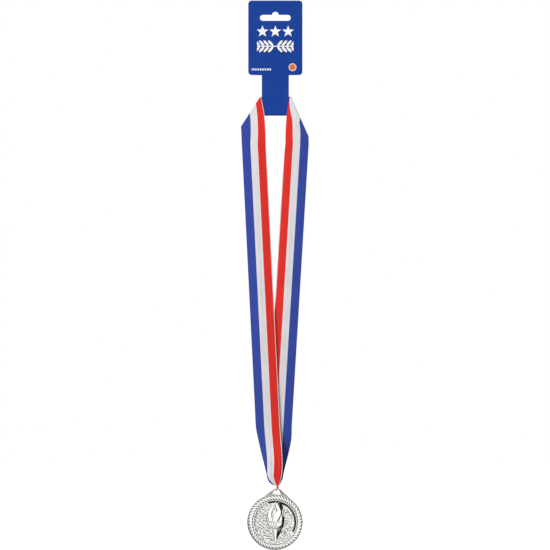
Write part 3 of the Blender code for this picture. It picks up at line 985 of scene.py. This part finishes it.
def gather_row(side, share, settings, bunch):
    """One row across a leg where it turns and narrows towards the eye."""
    z = between(gather_top(), gather_foot(), share)
    section = front_section(share) if side < 0 else rear_section(share)
    a0, a1, b0, b1 = spread(section)
    limits = FRONT_LEG if side < 0 else REAR_LEG
    left, right, front = (along_stations(limits[key], share) * MM for key in ("left", "right", "front"))
    near_bunch = ease((share - 0.62) / 0.38)
    rolling = ease((share - REAR_ROLL_FROM) / (1 - REAR_ROLL_FROM))
    bunch_depth = (LOOP_HIGH.y - LOOP_LOW.y) / 2 - BUNCH_INNER
    depth = between((b1 - b0) * settings.width * CURL_FLATTENED, bunch_depth, near_bunch)
    flat = 1 - ease(share / 0.3)
    pleated = PLEAT_DEPTH * ease((share - 0.35) / 0.3) * (1 - near_bunch)
    peeking = PEEK * math.sin(math.pi * min(max((share - 0.80) / 0.2, 0.0), 1.0))
    points = []
    widths = []
    for i, (a, b) in enumerate(section):
        sideways = (a - a0) / (a1 - a0)
        deep = (b - b0) / max(b1 - b0, 1e-6)
        if side > 0:
            # The rear leg takes up the front leg's rolled shape as it nears the bunch
            sideways = between(1 - sideways, (1 + bunch[i][0]) / 2, rolling)
            deep = between(deep, (1 - bunch[i][1]) / 2, rolling)
        across = i / (SECTION_POINTS - 1)
        cup = settings.cup * flat * (1 - (2 * across - 1) ** 2)
        pleat = pleated * math.sin(across * PLEAT_TURNS + side)
        # The blue side sags below the rest, and the front leg's shows past its white stripe
        peek = peeking * ease(1 - across / 0.45)
        shift = -0.8 * peek if side < 0 else 0.0
        x = left + sideways * (right - left) + shift
        points.append(Vector((x, front + deep * depth - cup - pleat, z - peek)))
        widths.append(across)
    return points, widths


def bunch_shape():
    """The rolled bunch as the front leg leaves it: each point from -1 to 1 sideways and in depth."""
    section = front_section(1.0)
    a0, a1, b0, b1 = spread(section)
    return [((a - a0) / (a1 - a0) * 2 - 1, (b - b0) / (b1 - b0) * 2 - 1) for a, b in section]


def eye_rows(bunch):
    """The rolled ribbon from in front of the eye's bar, under it and up behind, half turned on the way."""
    half_x = (LOOP_HIGH.x - LOOP_LOW.x) / 2
    outer = (LOOP_HIGH.y - LOOP_LOW.y) / 2
    half_n = (outer - BUNCH_INNER) / 2
    radius = (outer + BUNCH_INNER) / 2
    rise = gather_foot() - EYE.z
    path = [(math.pi, rise * (1 - i / 5)) for i in range(1, 5)]
    path += [(math.pi * (1 + i / 24), 0.0) for i in range(25)]
    path += [(2 * math.pi, rise * i / 5) for i in range(1, 5)]
    widths = [i / (SECTION_POINTS - 1) for i in range(SECTION_POINTS)]
    rows = []
    for i, (angle, lift) in enumerate(path):
        twist = math.pi * ease((i + 1) / (len(path) + 1))
        out = Vector((0, math.cos(angle), math.sin(angle)))
        centre = EYE + out * radius + Vector((0, 0, lift))
        points = []
        for a, b in bunch:
            sideways = a * math.cos(twist) + b * math.sin(twist)
            outwards = a * math.sin(twist) - b * math.cos(twist)
            points.append(centre + Vector((sideways * half_x, 0, 0)) + out * (outwards * half_n))
        rows.append((points, widths))
    return rows


def lower_rows(settings):
    """Down the left leg, through the eye and up the right leg."""
    bunch = bunch_shape()
    steps = 30
    heights = [between(settings.split_z, gather_top(), i / steps) for i in range(steps)]
    rows = [leg_row(-1, z, settings, count=SECTION_POINTS) for z in heights]
    gather_steps = 46
    shares = [math.sin(math.pi / 2 * (i / gather_steps)) for i in range(gather_steps + 1)]
    rows += [gather_row(-1, share, settings, bunch) for share in shares]
    rows += eye_rows(bunch)
    rear = [(-a, -b) for a, b in bunch]
    rows += [gather_row(1, share, settings, rear) for share in reversed(shares)]
    rows += [leg_row(1, z, settings, count=SECTION_POINTS) for z in reversed(heights)]
    return rows


def declare_strip(thing, nodes):
    """Moves a strip's place into its mesh and hides the frame's parts that it stands for."""
    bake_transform(thing)
    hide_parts(*nodes)


# ---------------------------------------------------------------- medal

# A cylinder turned so that its flat sides look to the front and the back
ON_EDGE = (math.pi / 2, 0, 0)
DISC_THICK = 1.5 * MM
LIP_WIDTH = 0.3 * MM
ROPE_MARGIN = 1.0 * MM
FIELD_DEPTH = 0.62 * MM
FIELD_SWELL = 0.35 * MM
ROPE_DEPTH = 1.15 * MM
STRAND_ANGLE = math.radians(50)
# The eye: its bar's thickness above the opening, the opening's radius, and half the web's thickness
EYE_BAR = 1.4 * MM
ARCH_R = 1.7 * MM
WEB_HALF = 0.72 * MM
# The torch's handle: its middle, sideways and in height, and its ribs and flutes together
HANDLE_X = 0.3 * MM
HANDLE_Z = -12.6 * MM
HANDLE_SIDES = 28
PETALS = 7
PETAL_FAN = 66.0


def place_medal_piece(thing, finish, turned=True):
    """Moves a piece from the medal's own centre to where the medal hangs, and onto the medal's body."""
    apply_place(thing)
    turn = Matrix.Rotation(MEDAL_TURN, 4, "Y") if turned else Matrix.Identity(4)
    thing.data.transform(Matrix.Translation(MEDAL_CENTRE) @ turn)
    give(thing, finish)
    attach(thing, "medal")
    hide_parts("medal_body")
    return thing


def step_in(thing, side, steps):
    """Steps a flat side inwards: 1 is the back, -1 the front. Each step is (inset, move back), in mm."""
    edit_faces(thing, lambda face: face.normal.y * side > 0.9)
    for inset, back in steps:
        bpy.ops.mesh.inset(thickness=inset * MM)
        bpy.ops.transform.translate(value=(0, back * MM, 0))
    leave_edit()


def wedge(name, top_half, foot_half, top_z, foot_z, half_y):
    """A block whose top and foot differ in width."""
    bpy.ops.mesh.primitive_cube_add(size=1.0)
    block = start(name)
    for vert in block.data.vertices:
        half, z = (top_half, top_z) if vert.co.z > 0 else (foot_half, foot_z)
        vert.co = (math.copysign(half, vert.co.x), math.copysign(half_y, vert.co.y), z)
    return block


def tube(name, points, order, detail):
    """A round tube along a line of points. Each is (x, z, half its width) in millimetres."""
    curve = bpy.data.curves.new(name, "CURVE")
    curve.dimensions = "3D"
    curve.bevel_depth = 1.0 * MM
    curve.bevel_resolution = 4
    curve.resolution_u = detail
    curve.use_fill_caps = True
    spline = curve.splines.new("NURBS")
    spline.points.add(len(points) - 1)
    for point, (x, z, half) in zip(spline.points, points):
        point.co = (x * MM, 0.0, z * MM, 1.0)
        point.radius = half
    spline.use_endpoint_u = True
    spline.order_u = order
    thing = bpy.data.objects.new(name, curve)
    bpy.context.scene.collection.objects.link(thing)
    only(thing)
    bpy.ops.object.convert(target="MESH")
    return bpy.context.object


def ball(name, around, up):
    """A sphere of radius 1, ready to be shaped."""
    bpy.ops.mesh.primitive_uv_sphere_add(segments=around, ring_count=up, radius=1.0)
    return start(name)


# ---------------------------------------------------------------- operators

class MEDAL_OT_card(bpy.types.Operator):
    """Finish the folded header card and the glue pad inside it"""
    bl_idname = "medal.card"
    bl_label = "Header Card"

    def execute(self, context):
        give(frame["nodes"]["header_card"], finishes()["card"])
        give(frame["nodes"]["card_glue_pad"], finishes()["glue"])
        return {"FINISHED"}


class MEDAL_OT_seam(bpy.types.Operator):
    """Finish the stitching that joins the ribbon's lapped ends"""
    bl_idname = "medal.seam"
    bl_label = "Ribbon Seam"

    def execute(self, context):
        give(frame["nodes"]["ribbon_seam_stitching"], finishes()["thread"])
        return {"FINISHED"}


class MEDAL_OT_ribbon_shoulders(bpy.types.Operator):
    """Fold the ribbon round each side of the card's neck"""
    bl_idname = "medal.ribbon_shoulders"
    bl_label = "Ribbon Shoulders"

    def execute(self, context):
        settings = context.scene.medal_ribbon
        for side, name in ((-1, "left"), (1, "right")):
            rows = with_runs(shoulder_rows(side, settings))
            thing = strip_object("ribbon_upper_" + name, rows, settings)
            nodes = ("ribbon_%s_shoulder" % name,)
            declare_strip(thing, nodes)
        return {"FINISHED"}


class MEDAL_OT_ribbon_lower(bpy.types.Operator):
    """Hang both legs of the ribbon and thread it through the medal's eye"""
    bl_idname = "medal.ribbon_lower"
    bl_label = "Ribbon Legs and Loop"

    def execute(self, context):
        settings = context.scene.medal_ribbon
        rows = with_runs(lower_rows(settings))
        thing = strip_object("ribbon_lower", rows, settings)
        nodes = ("ribbon_left_leg", "ribbon_right_leg", "ribbon_eye_loop")
        declare_strip(thing, nodes)
        return {"FINISHED"}


class MEDAL_OT_disc(bpy.types.Operator):
    """Turn the medal's disc: a coved front, a thin outer lip and a flat rim at the back"""
    bl_idname = "medal.disc"
    bl_label = "Medal Disc"

    def execute(self, context):
        settings = context.scene.medal_metal
        bpy.ops.mesh.primitive_cylinder_add(vertices=180, radius=MEDAL_R, depth=DISC_THICK, rotation=ON_EDGE)
        disc = apply_place(start("medal_disc"))
        step_in(disc, 1, ((0.5, 0.62), (2.4, 0.0), (0.5, -0.5)))
        lip = LIP_WIDTH / MM
        groove = (settings.rope_width - ROPE_MARGIN) / MM
        step_in(disc, -1, ((lip, -0.15), (groove, 0.0), (0.3, -0.6), (0.4, 0.0), (2.1, 0.90)))
        sharp = math.radians(15)
        apply_modifier(disc, "BEVEL", width=0.2 * MM, segments=3, limit_method="ANGLE", angle_limit=sharp)
        outward(disc)
        slots = [self.slot_for(face.center, settings) for face in disc.data.polygons]
        place_medal_piece(smooth(disc, 40), finishes()["silver"])
        for finish in ("recess", "field", "back"):
            disc.data.materials.append(finishes()[finish])
        for face, slot in zip(disc.data.polygons, slots):
            face.material_index = slot
        return {"FINISHED"}

    def slot_for(self, centre, settings):
        """1 on the floor of the rope's groove, whose darker plating is painted shade, 2 on the lower left of
        the cove, 3 on the satin back.
        """
        if centre.y > 0.2 * MM:
            return 3
        reach = math.hypot(centre.x, centre.z)
        inner = MEDAL_R - settings.rope_width
        if inner + 0.5 * MM < reach < MEDAL_R - 0.35 * MM and -1.3 * MM < centre.y < -0.7 * MM:
            return 1
        low_left = centre.x * 0.75 + centre.z * 0.66 < 0.30 * reach
        return 2 if low_left and inner - 2.3 * MM < reach < inner - 0.15 * MM and centre.y < 0 else 0


class MEDAL_OT_field(bpy.types.Operator):
    """Punch the stippled field behind the torch"""
    bl_idname = "medal.field"
    bl_label = "Stippled Field"

    def execute(self, context):
        settings = context.scene.medal_metal
        radius = MEDAL_R - settings.rope_width - 1.35 * MM
        steps = 170
        bpy.ops.mesh.primitive_grid_add(x_subdivisions=steps, y_subdivisions=steps, size=radius * 2)
        field = start("medal_field")
        edit_faces(field, lambda face: face.center.length > radius)
        bpy.ops.mesh.delete(type="FACE")
        leave_edit()
        texture = bpy.data.textures.new("punched_grain", "VORONOI")
        texture.noise_scale = settings.stipple
        texture.noise_intensity = 1.2
        apply_modifier(field, "DISPLACE", texture=texture, strength=-settings.stipple_depth, mid_level=0.5)
        for vert in field.data.vertices:
            # The field swells a little towards its middle
            reach = math.hypot(vert.co.x, vert.co.y) / radius
            vert.co.z += FIELD_SWELL * (1 - reach * reach)
        field.rotation_euler = ON_EDGE
        field.location = (0, -FIELD_DEPTH, 0)
        apply_place(field)
        apply_modifier(field, "SOLIDIFY", thickness=0.3 * MM, offset=-1.0)
        place_medal_piece(smooth(outward(field), 50), finishes()["field"])
        return {"FINISHED"}


class MEDAL_OT_rope(bpy.types.Operator):
    """Wind the rope border from slanting strands"""
    bl_idname = "medal.rope"
    bl_label = "Rope Border"

    def execute(self, context):
        settings = context.scene.medal_metal
        middle = MEDAL_R - settings.rope_width / 2 - 0.25 * MM
        pitch = 2 * math.pi * middle / settings.strands
        strands = []
        for i in range(settings.strands):
            strand = ball("strand", 20, 14)
            for vert in strand.data.vertices:
                reach = vert.co.x
                # An S shape: the strand leans in its middle and runs along the rope at both ends
                vert.co.z += 0.34 * math.sin(reach * 2.2)
                vert.co.y *= 1 + 0.15 * reach
            strand.scale = (settings.rope_width * 0.55, 0.60 * MM, pitch * 0.37)
            apply_place(strand)
            strand.data.transform(Matrix.Rotation(STRAND_ANGLE, 4, "Y"))
            strand.location = (0, -ROPE_DEPTH, middle)
            apply_place(strand)
            strand.data.transform(Matrix.Rotation(2 * math.pi * i / settings.strands, 4, "Y"))
            strands.append(strand)
        rope = join(strands, "medal_rope")
        place_medal_piece(smooth(rope, 180), finishes()["silver"])
        return {"FINISHED"}


class MEDAL_OT_eye(bpy.types.Operator):
    """Cast the arched eye at the medal's top, with a bead round its opening"""
    bl_idname = "medal.eye"
    bl_label = "Medal Eye"

    def execute(self, context):
        apex = EYE_REACH + 0.7 * MM
        touch = math.acos(MEDAL_R / apex)
        foot_x = MEDAL_R * math.sin(touch)
        foot_z = MEDAL_R * math.cos(touch)
        lug = wedge("medal_eye", 1.6 * MM, foot_x, apex - 0.35 * MM, foot_z, WEB_HALF)
        apply_modifier(lug, "BEVEL", width=0.45 * MM, segments=5, limit_method="ANGLE")
        crown_z = apex - EYE_BAR - ARCH_R
        bpy.ops.mesh.primitive_cylinder_add(
            vertices=40, radius=ARCH_R, depth=6 * MM, location=(0, 0, crown_z), rotation=ON_EDGE
        )
        crown = apply_place(start("arch_crown"))
        flare = wedge("arch_flare", 1.58 * MM, 3.8 * MM, crown_z + 0.6 * MM, crown_z - 3.3 * MM, 3.0 * MM)
        combine(lug, crown, "DIFFERENCE")
        combine(lug, flare, "DIFFERENCE")
        beads = [self.bead(self.arch(crown_z / MM))]
        for side in (-1, 1):
            middle = (between(1.5 * MM, foot_x, 0.5), between(apex, foot_z, 0.53))
            line = ((1.5 * MM, apex - 0.75 * MM), middle, (foot_x - 0.3 * MM, foot_z))
            beads.append(self.bead([(side * x / MM, z / MM, 0.5) for x, z in line]))
        # The web takes the darker plating as painted shade; the beads stay bright
        place_medal_piece(smooth(outward(lug), 35), finishes()["web"])
        place_medal_piece(smooth(join(beads, "medal_eye_beads"), 35), finishes()["silver"])
        return {"FINISHED"}

    def arch(self, crown_z):
        """The bead's line round the opening, from one foot over the crown to the other, in millimetres."""
        reach = ARCH_R / MM + 0.5
        half = 0.62
        points = [(-4.35, crown_z - 3.2, half), (-3.2, crown_z - 1.3, half)]
        for i in range(9):
            angle = math.radians(152 - 124 * i / 8)
            points.append((reach * math.cos(angle), crown_z + reach * math.sin(angle), half))
        return points + [(3.2, crown_z - 1.3, half), (4.35, crown_z - 3.2, half)]

    def bead(self, points):
        """A bead that stands out in front of and behind the web."""
        bead = tube("eye_bead", points, 3, 12)
        bead.scale = (1, 1.9, 1)
        return outward(apply_place(bead))


class MEDAL_OT_torch(bpy.types.Operator):
    """Raise the torch's handle, collars and petalled bowl"""
    bl_idname = "medal.torch"
    bl_label = "Torch"

    def execute(self, context):
        parts = [self.handle()]
        parts += [self.collar(z, width, height) for z, width, height in self.collars()]
        parts += self.petals()
        torch = join(parts, "medal_torch")
        place_medal_piece(smooth(outward(torch), 50), finishes()["silver"], turned=False)
        return {"FINISHED"}

    def handle(self):
        """A fluted cone that tapers down to its foot."""
        middle = (HANDLE_X, 0, HANDLE_Z)
        bpy.ops.mesh.primitive_cone_add(
            vertices=HANDLE_SIDES, radius1=1.25 * MM, radius2=2.75 * MM, depth=12.9 * MM, location=middle
        )
        handle = apply_place(start("torch_handle"))
        edit_edges(handle, lambda a, b: abs(a.z - b.z) > 5 * MM)
        bpy.ops.mesh.subdivide(number_cuts=8)
        leave_edit()
        # Flutes: the wall is drawn in between the ribs, which stay round
        for vert in handle.data.vertices:
            sideways = vert.co.x - HANDLE_X
            angle = math.atan2(vert.co.y, sideways)
            draw = 1 - 0.10 * (round(angle * HANDLE_SIDES / (2 * math.pi)) % 2)
            lean = (vert.co.z - HANDLE_Z) * -0.06
            vert.co.x = HANDLE_X + sideways * draw + lean
            vert.co.y = vert.co.y * draw * 0.60 - 0.85 * MM
        return apply_modifier(handle, "SUBSURF", levels=1, render_levels=1)

    def collars(self):
        """Height, width and thickness of each ring on the torch."""
        return (
            (-6.0 * MM, 7.4 * MM, 0.8 * MM),
            (-7.5 * MM, 5.8 * MM, 0.65 * MM),
            (-18.9 * MM, 3.4 * MM, 0.75 * MM),
            (0.9 * MM, 14.0 * MM, 0.85 * MM),
            (-0.6 * MM, 12.6 * MM, 0.6 * MM),
        )

    def collar(self, z, width, thick):
        ring = ball("torch_collar", 32, 14)
        for vert in ring.data.vertices:
            # The ring hangs lower in its middle, as a round rim seen from a little above
            vert.co.z -= 0.75 * (1 - vert.co.x * vert.co.x)
        ring.scale = (width / 2, 1.45 * MM, thick)
        ring.location = (0, -0.8 * MM, z + 0.2 * MM)
        return apply_place(ring)

    def petals(self):
        """Upright petals side by side round the bowl, narrower towards its edges."""
        made = []
        for i in range(PETALS):
            angle = math.radians(between(-PETAL_FAN, PETAL_FAN, i / (PETALS - 1)))
            ahead = math.cos(angle)
            petal = ball("torch_petal", 18, 12)
            for vert in petal.data.vertices:
                # Pointed at its foot and full at its shoulder
                vert.co.x *= 0.62 + 0.38 * min(max(vert.co.z + 0.6, 0.0), 1.0)
            petal.scale = Vector((1.15 * (0.5 + 0.5 * ahead) + 0.35, 0.85, 3.5)) * MM
            petal.rotation_euler = (0, angle * 0.6, 0)
            petal.location = Vector((4.9 * math.sin(angle), -0.8 - 0.75 * ahead, -2.6 - 0.5 * ahead)) * MM
            made.append(apply_place(petal))
        return made


class MEDAL_OT_flame(bpy.types.Operator):
    """Raise the torch's swirling flame"""
    bl_idname = "medal.flame"
    bl_label = "Torch Flame"

    def execute(self, context):
        made = [self.tongue(points) for points in self.tongues()]
        flame = join(made, "medal_flame")
        place_medal_piece(smooth(flame, 60), finishes()["silver"], turned=False)
        return {"FINISHED"}

    def tongues(self):
        """Each tongue from its root up to its tip: x, z and half-width in millimetres."""
        return (
            (
                (-0.8, 1.0, 3.0), (1.6, 4.6, 3.5), (4.2, 8.6, 3.0),
                (3.4, 12.2, 2.2), (0.8, 15.4, 1.6), (0.5, 19.0, 0.15),
            ),
            (
                (-3.4, 1.0, 2.5), (-5.2, 4.6, 2.6), (-5.2, 8.0, 2.2),
                (-3.2, 11.4, 1.7), (-1.6, 14.0, 1.2), (-2.2, 17.2, 0.1),
            ),
            (
                (4.6, 1.0, 1.9), (6.4, 4.2, 2.0), (7.0, 7.8, 1.7),
                (5.8, 11.6, 1.3), (3.6, 14.8, 1.0), (3.0, 18.4, 0.1),
            ),
            (
                (-8.6, 12.4, 0.25), (-6.6, 11.8, 0.9), (-4.9, 13.6, 1.2),
                (-5.6, 16.6, 1.1), (-7.6, 16.8, 0.9), (-8.0, 15.0, 0.2),
            ),
            ((-5.8, 1.2, 1.4), (-7.2, 3.6, 1.4), (-7.4, 6.4, 1.0), (-6.2, 9.4, 0.1)),
            ((7.6, 1.6, 0.6), (6.4, 3.9, 1.0), (4.4, 3.6, 1.0), (2.9, 1.4, 0.4)),
            ((-1.2, 6.0, 0.9), (-1.6, 9.2, 1.2), (0.6, 11.4, 0.8), (1.4, 13.4, 0.1)),
        )

    def tongue(self, points):
        tongue = tube("tongue", points, 4, 8)
        for vert in tongue.data.vertices:
            # A sharp crest down the middle, low at the sides
            vert.co.y = math.copysign(abs(vert.co.y / MM) ** 0.8 * 0.62 * MM, vert.co.y) - 0.75 * MM
        return outward(tongue)


class MEDAL_OT_flank(bpy.types.Operator):
    """Slope the polished ground down from the torch's right side to the field"""
    bl_idname = "medal.flank"
    bl_label = "Torch Flank"

    def execute(self, context):
        bpy.ops.mesh.primitive_grid_add(x_subdivisions=8, y_subdivisions=90, size=2)
        flank = start("medal_torch_flank")
        edges = self.edges()
        low, high = edges[0][0], edges[-1][0]
        left_edge = [(z, left) for z, left, _ in edges]
        right_edge = [(z, right) for z, _, right in edges]
        for vert in flank.data.vertices:
            z = between(low, high, (vert.co.y + 1) / 2)
            left = along_stations(left_edge, z)
            right = along_stations(right_edge, z)
            share = (vert.co.x + 1) / 2
            rise = min((right - left) * 0.85, 1.75) * (1 - share)
            vert.co = Vector((between(left, right, share), -0.55 - rise, z)) * MM
        apply_modifier(flank, "SOLIDIFY", thickness=0.25 * MM, offset=0.0)
        place_medal_piece(smooth(outward(flank), 40), finishes()["silver"], turned=False)
        return {"FINISHED"}

    def edges(self):
        """Height, then the slope's upper and lower edge to the right of the middle, in millimetres."""
        return (
            (-16.4, 1.1, 1.7),
            (-12.6, 1.3, 3.6),
            (-9.0, 1.9, 5.7),
            (-5.3, 3.2, 7.4),
            (-1.7, 5.9, 8.5),
            (1.9, 6.6, 8.9),
            (6.4, 6.0, 8.5),
            (11.0, 5.0, 7.6),
            (15.5, 3.6, 6.8),
            (17.6, 2.8, 5.6),
        )


class MEDAL_OT_stage(bpy.types.Operator):
    """Set up the floor, the lights, the white room and the camera"""
    bl_idname = "medal.stage"
    bl_label = "Studio"

    def execute(self, context):
        settings = context.scene.medal_stage
        self.floor()
        self.room(settings)
        self.lights(settings)
        self.flags()
        self.camera(settings)
        context.scene.view_settings.view_transform = "Standard"
        return {"FINISHED"}

    def floor(self):
        bpy.ops.mesh.primitive_circle_add(
            vertices=64, radius=1.3, fill_type="NGON", location=(0, 0, CAD_BOX[0][2] - 4 * MM)
        )
        floor = apply_place(start("studio_floor"))
        made, g, shader = material("studio_floor")
        where = g.add("ShaderNodeTexCoord").outputs["Object"]
        g.feed(shader["Base Color"], g.mix(g.noise(where, 8.0), (0.93, 0.93, 0.93), (0.95, 0.95, 0.95)))
        shader["Roughness"].default_value = 0.9
        shader["Emission Color"].default_value = (1, 1, 1, 1)
        shader["Emission Strength"].default_value = 1.0
        give(floor, made)
        floor.visible_diffuse = False
        floor.visible_glossy = False

    def room(self, settings):
        """White to the camera and softer as light; reflections find it darker at both sides and below."""
        world = bpy.data.worlds.new("white_room")
        bpy.context.scene.world = world
        world.use_nodes = True
        g = Graph(world.node_tree)
        path = g.add("ShaderNodeLightPath").outputs
        _, toward, upward = g.split(g.add("ShaderNodeTexCoord").outputs["Generated"])
        sides = g.ramp(g.size(toward), 0.08, 0.50, settings.reflected * 0.30, settings.reflected)
        sides = g.times(sides, g.ramp(upward, -0.9, 0.9, 0.80, 1.30))
        strength = g.ramp(path["Is Glossy Ray"], 0.0, 1.0, settings.ambient, sides)
        strength = g.math("MAXIMUM", strength, path["Is Camera Ray"])
        background = world.node_tree.nodes["Background"].inputs
        background["Color"].default_value = (1, 1, 1, 1)
        g.feed(background["Strength"], strength)

    def lights(self, settings):
        for name, watts, size, place in (
            ("key", settings.key_power, 0.5, (-0.85, -1.2, 0.25)),
            ("fill", settings.fill_power, 0.9, (0.9, -1.1, -0.1)),
        ):
            data = bpy.data.lights.new(name + "_light", "AREA")
            data.energy = watts
            data.size = size
            light = bpy.data.objects.new(name + "_light", data)
            bpy.context.scene.collection.objects.link(light)
            light.location = place
            light.visible_glossy = False
            aim = Vector((0, 0, -0.25)) - Vector(place)
            light.rotation_euler = aim.to_track_quat("-Z", "Y").to_euler()

    def flags(self):
        """Cards from black to grey round the medal, reflected in its steep sides; one also shades cloth."""
        medal_z = MEDAL_CENTRE.z
        for name, grey, place, size in (
            ("card_right", 0.0, (0.34, -0.04, medal_z), (0.0, 0.58, 0.68)),
            ("card_left", 0.02, (-0.34, -0.34, medal_z - 0.10), (0.0, 0.38, 0.48)),
            ("card_below", 0.0, (-0.10, -0.34, medal_z - 0.34), (0.48, 0.38, 0.0)),
            ("card_above", 0.20, (0.0, 0.10, medal_z + 0.34), (0.68, 0.30, 0.0)),
            ("card_high_right", 0.42, (0.10, -0.25, medal_z + 0.38), (0.50, 0.26, 0.0)),
        ):
            made, _, shader = material(name)
            shader["Base Color"].default_value = (0.01, 0.01, 0.01, 1)
            shader["Roughness"].default_value = 1.0
            shader["Emission Color"].default_value = (1, 1, 1, 1)
            shader["Emission Strength"].default_value = grey
            bpy.ops.mesh.primitive_cube_add(size=1.0, location=place)
            flag = start(name)
            flag.scale = [max(s, 4 * MM) for s in size]
            apply_place(flag)
            give(flag, made)
            flag.visible_camera = False
            flag.visible_diffuse = name == "card_right"
            flag.visible_shadow = False
            flag.visible_transmission = False

    def camera(self, settings):
        data = bpy.data.cameras.new("studio_camera")
        data.sensor_width = 36.0
        data.lens = data.sensor_width * settings.distance / settings.view_height
        data.clip_end = 20.0
        camera = bpy.data.objects.new("studio_camera", data)
        bpy.context.scene.collection.objects.link(camera)
        camera.location = (-0.3 * MM, -settings.distance, settings.view_top - settings.view_height / 2)
        camera.rotation_euler = (math.pi / 2, 0, 0)
        bpy.context.scene.camera = camera


class MEDAL_PT_panel(bpy.types.Panel):
    """Buttons for every piece of the medal"""
    bl_label = "Award Medal"
    bl_idname = "MEDAL_PT_panel"
    bl_space_type = "VIEW_3D"
    bl_region_type = "UI"
    bl_category = "Award Medal"

    def draw(self, context):
        for operator in PIECES:
            self.layout.operator(operator.bl_idname)


SETTINGS = (
    ("medal_ribbon", MedalRibbonSettings),
    ("medal_card", MedalCardSettings),
    ("medal_metal", MedalMetalSettings),
    ("medal_stage", MedalStageSettings),
)
PIECES = (
    MEDAL_OT_card,
    MEDAL_OT_seam,
    MEDAL_OT_disc,
    MEDAL_OT_field,
    MEDAL_OT_rope,
    MEDAL_OT_eye,
    MEDAL_OT_torch,
    MEDAL_OT_flame,
    MEDAL_OT_flank,
    MEDAL_OT_ribbon_shoulders,
    MEDAL_OT_ribbon_lower,
    MEDAL_OT_stage,
)


def register():
    for name, group in SETTINGS:
        bpy.utils.register_class(group)
        setattr(bpy.types.Scene, name, PointerProperty(type=group))
    for piece in PIECES + (MEDAL_PT_panel,):
        bpy.utils.register_class(piece)


def unregister():
    for piece in reversed(PIECES + (MEDAL_PT_panel,)):
        bpy.utils.unregister_class(piece)
    for name, group in reversed(SETTINGS):
        delattr(bpy.types.Scene, name)
        bpy.utils.unregister_class(group)


def main():
    register()
    for piece in PIECES:
        group, name = piece.bl_idname.split(".")
        getattr(getattr(bpy.ops, group), name)()


if __name__ == "__main__":
    main()
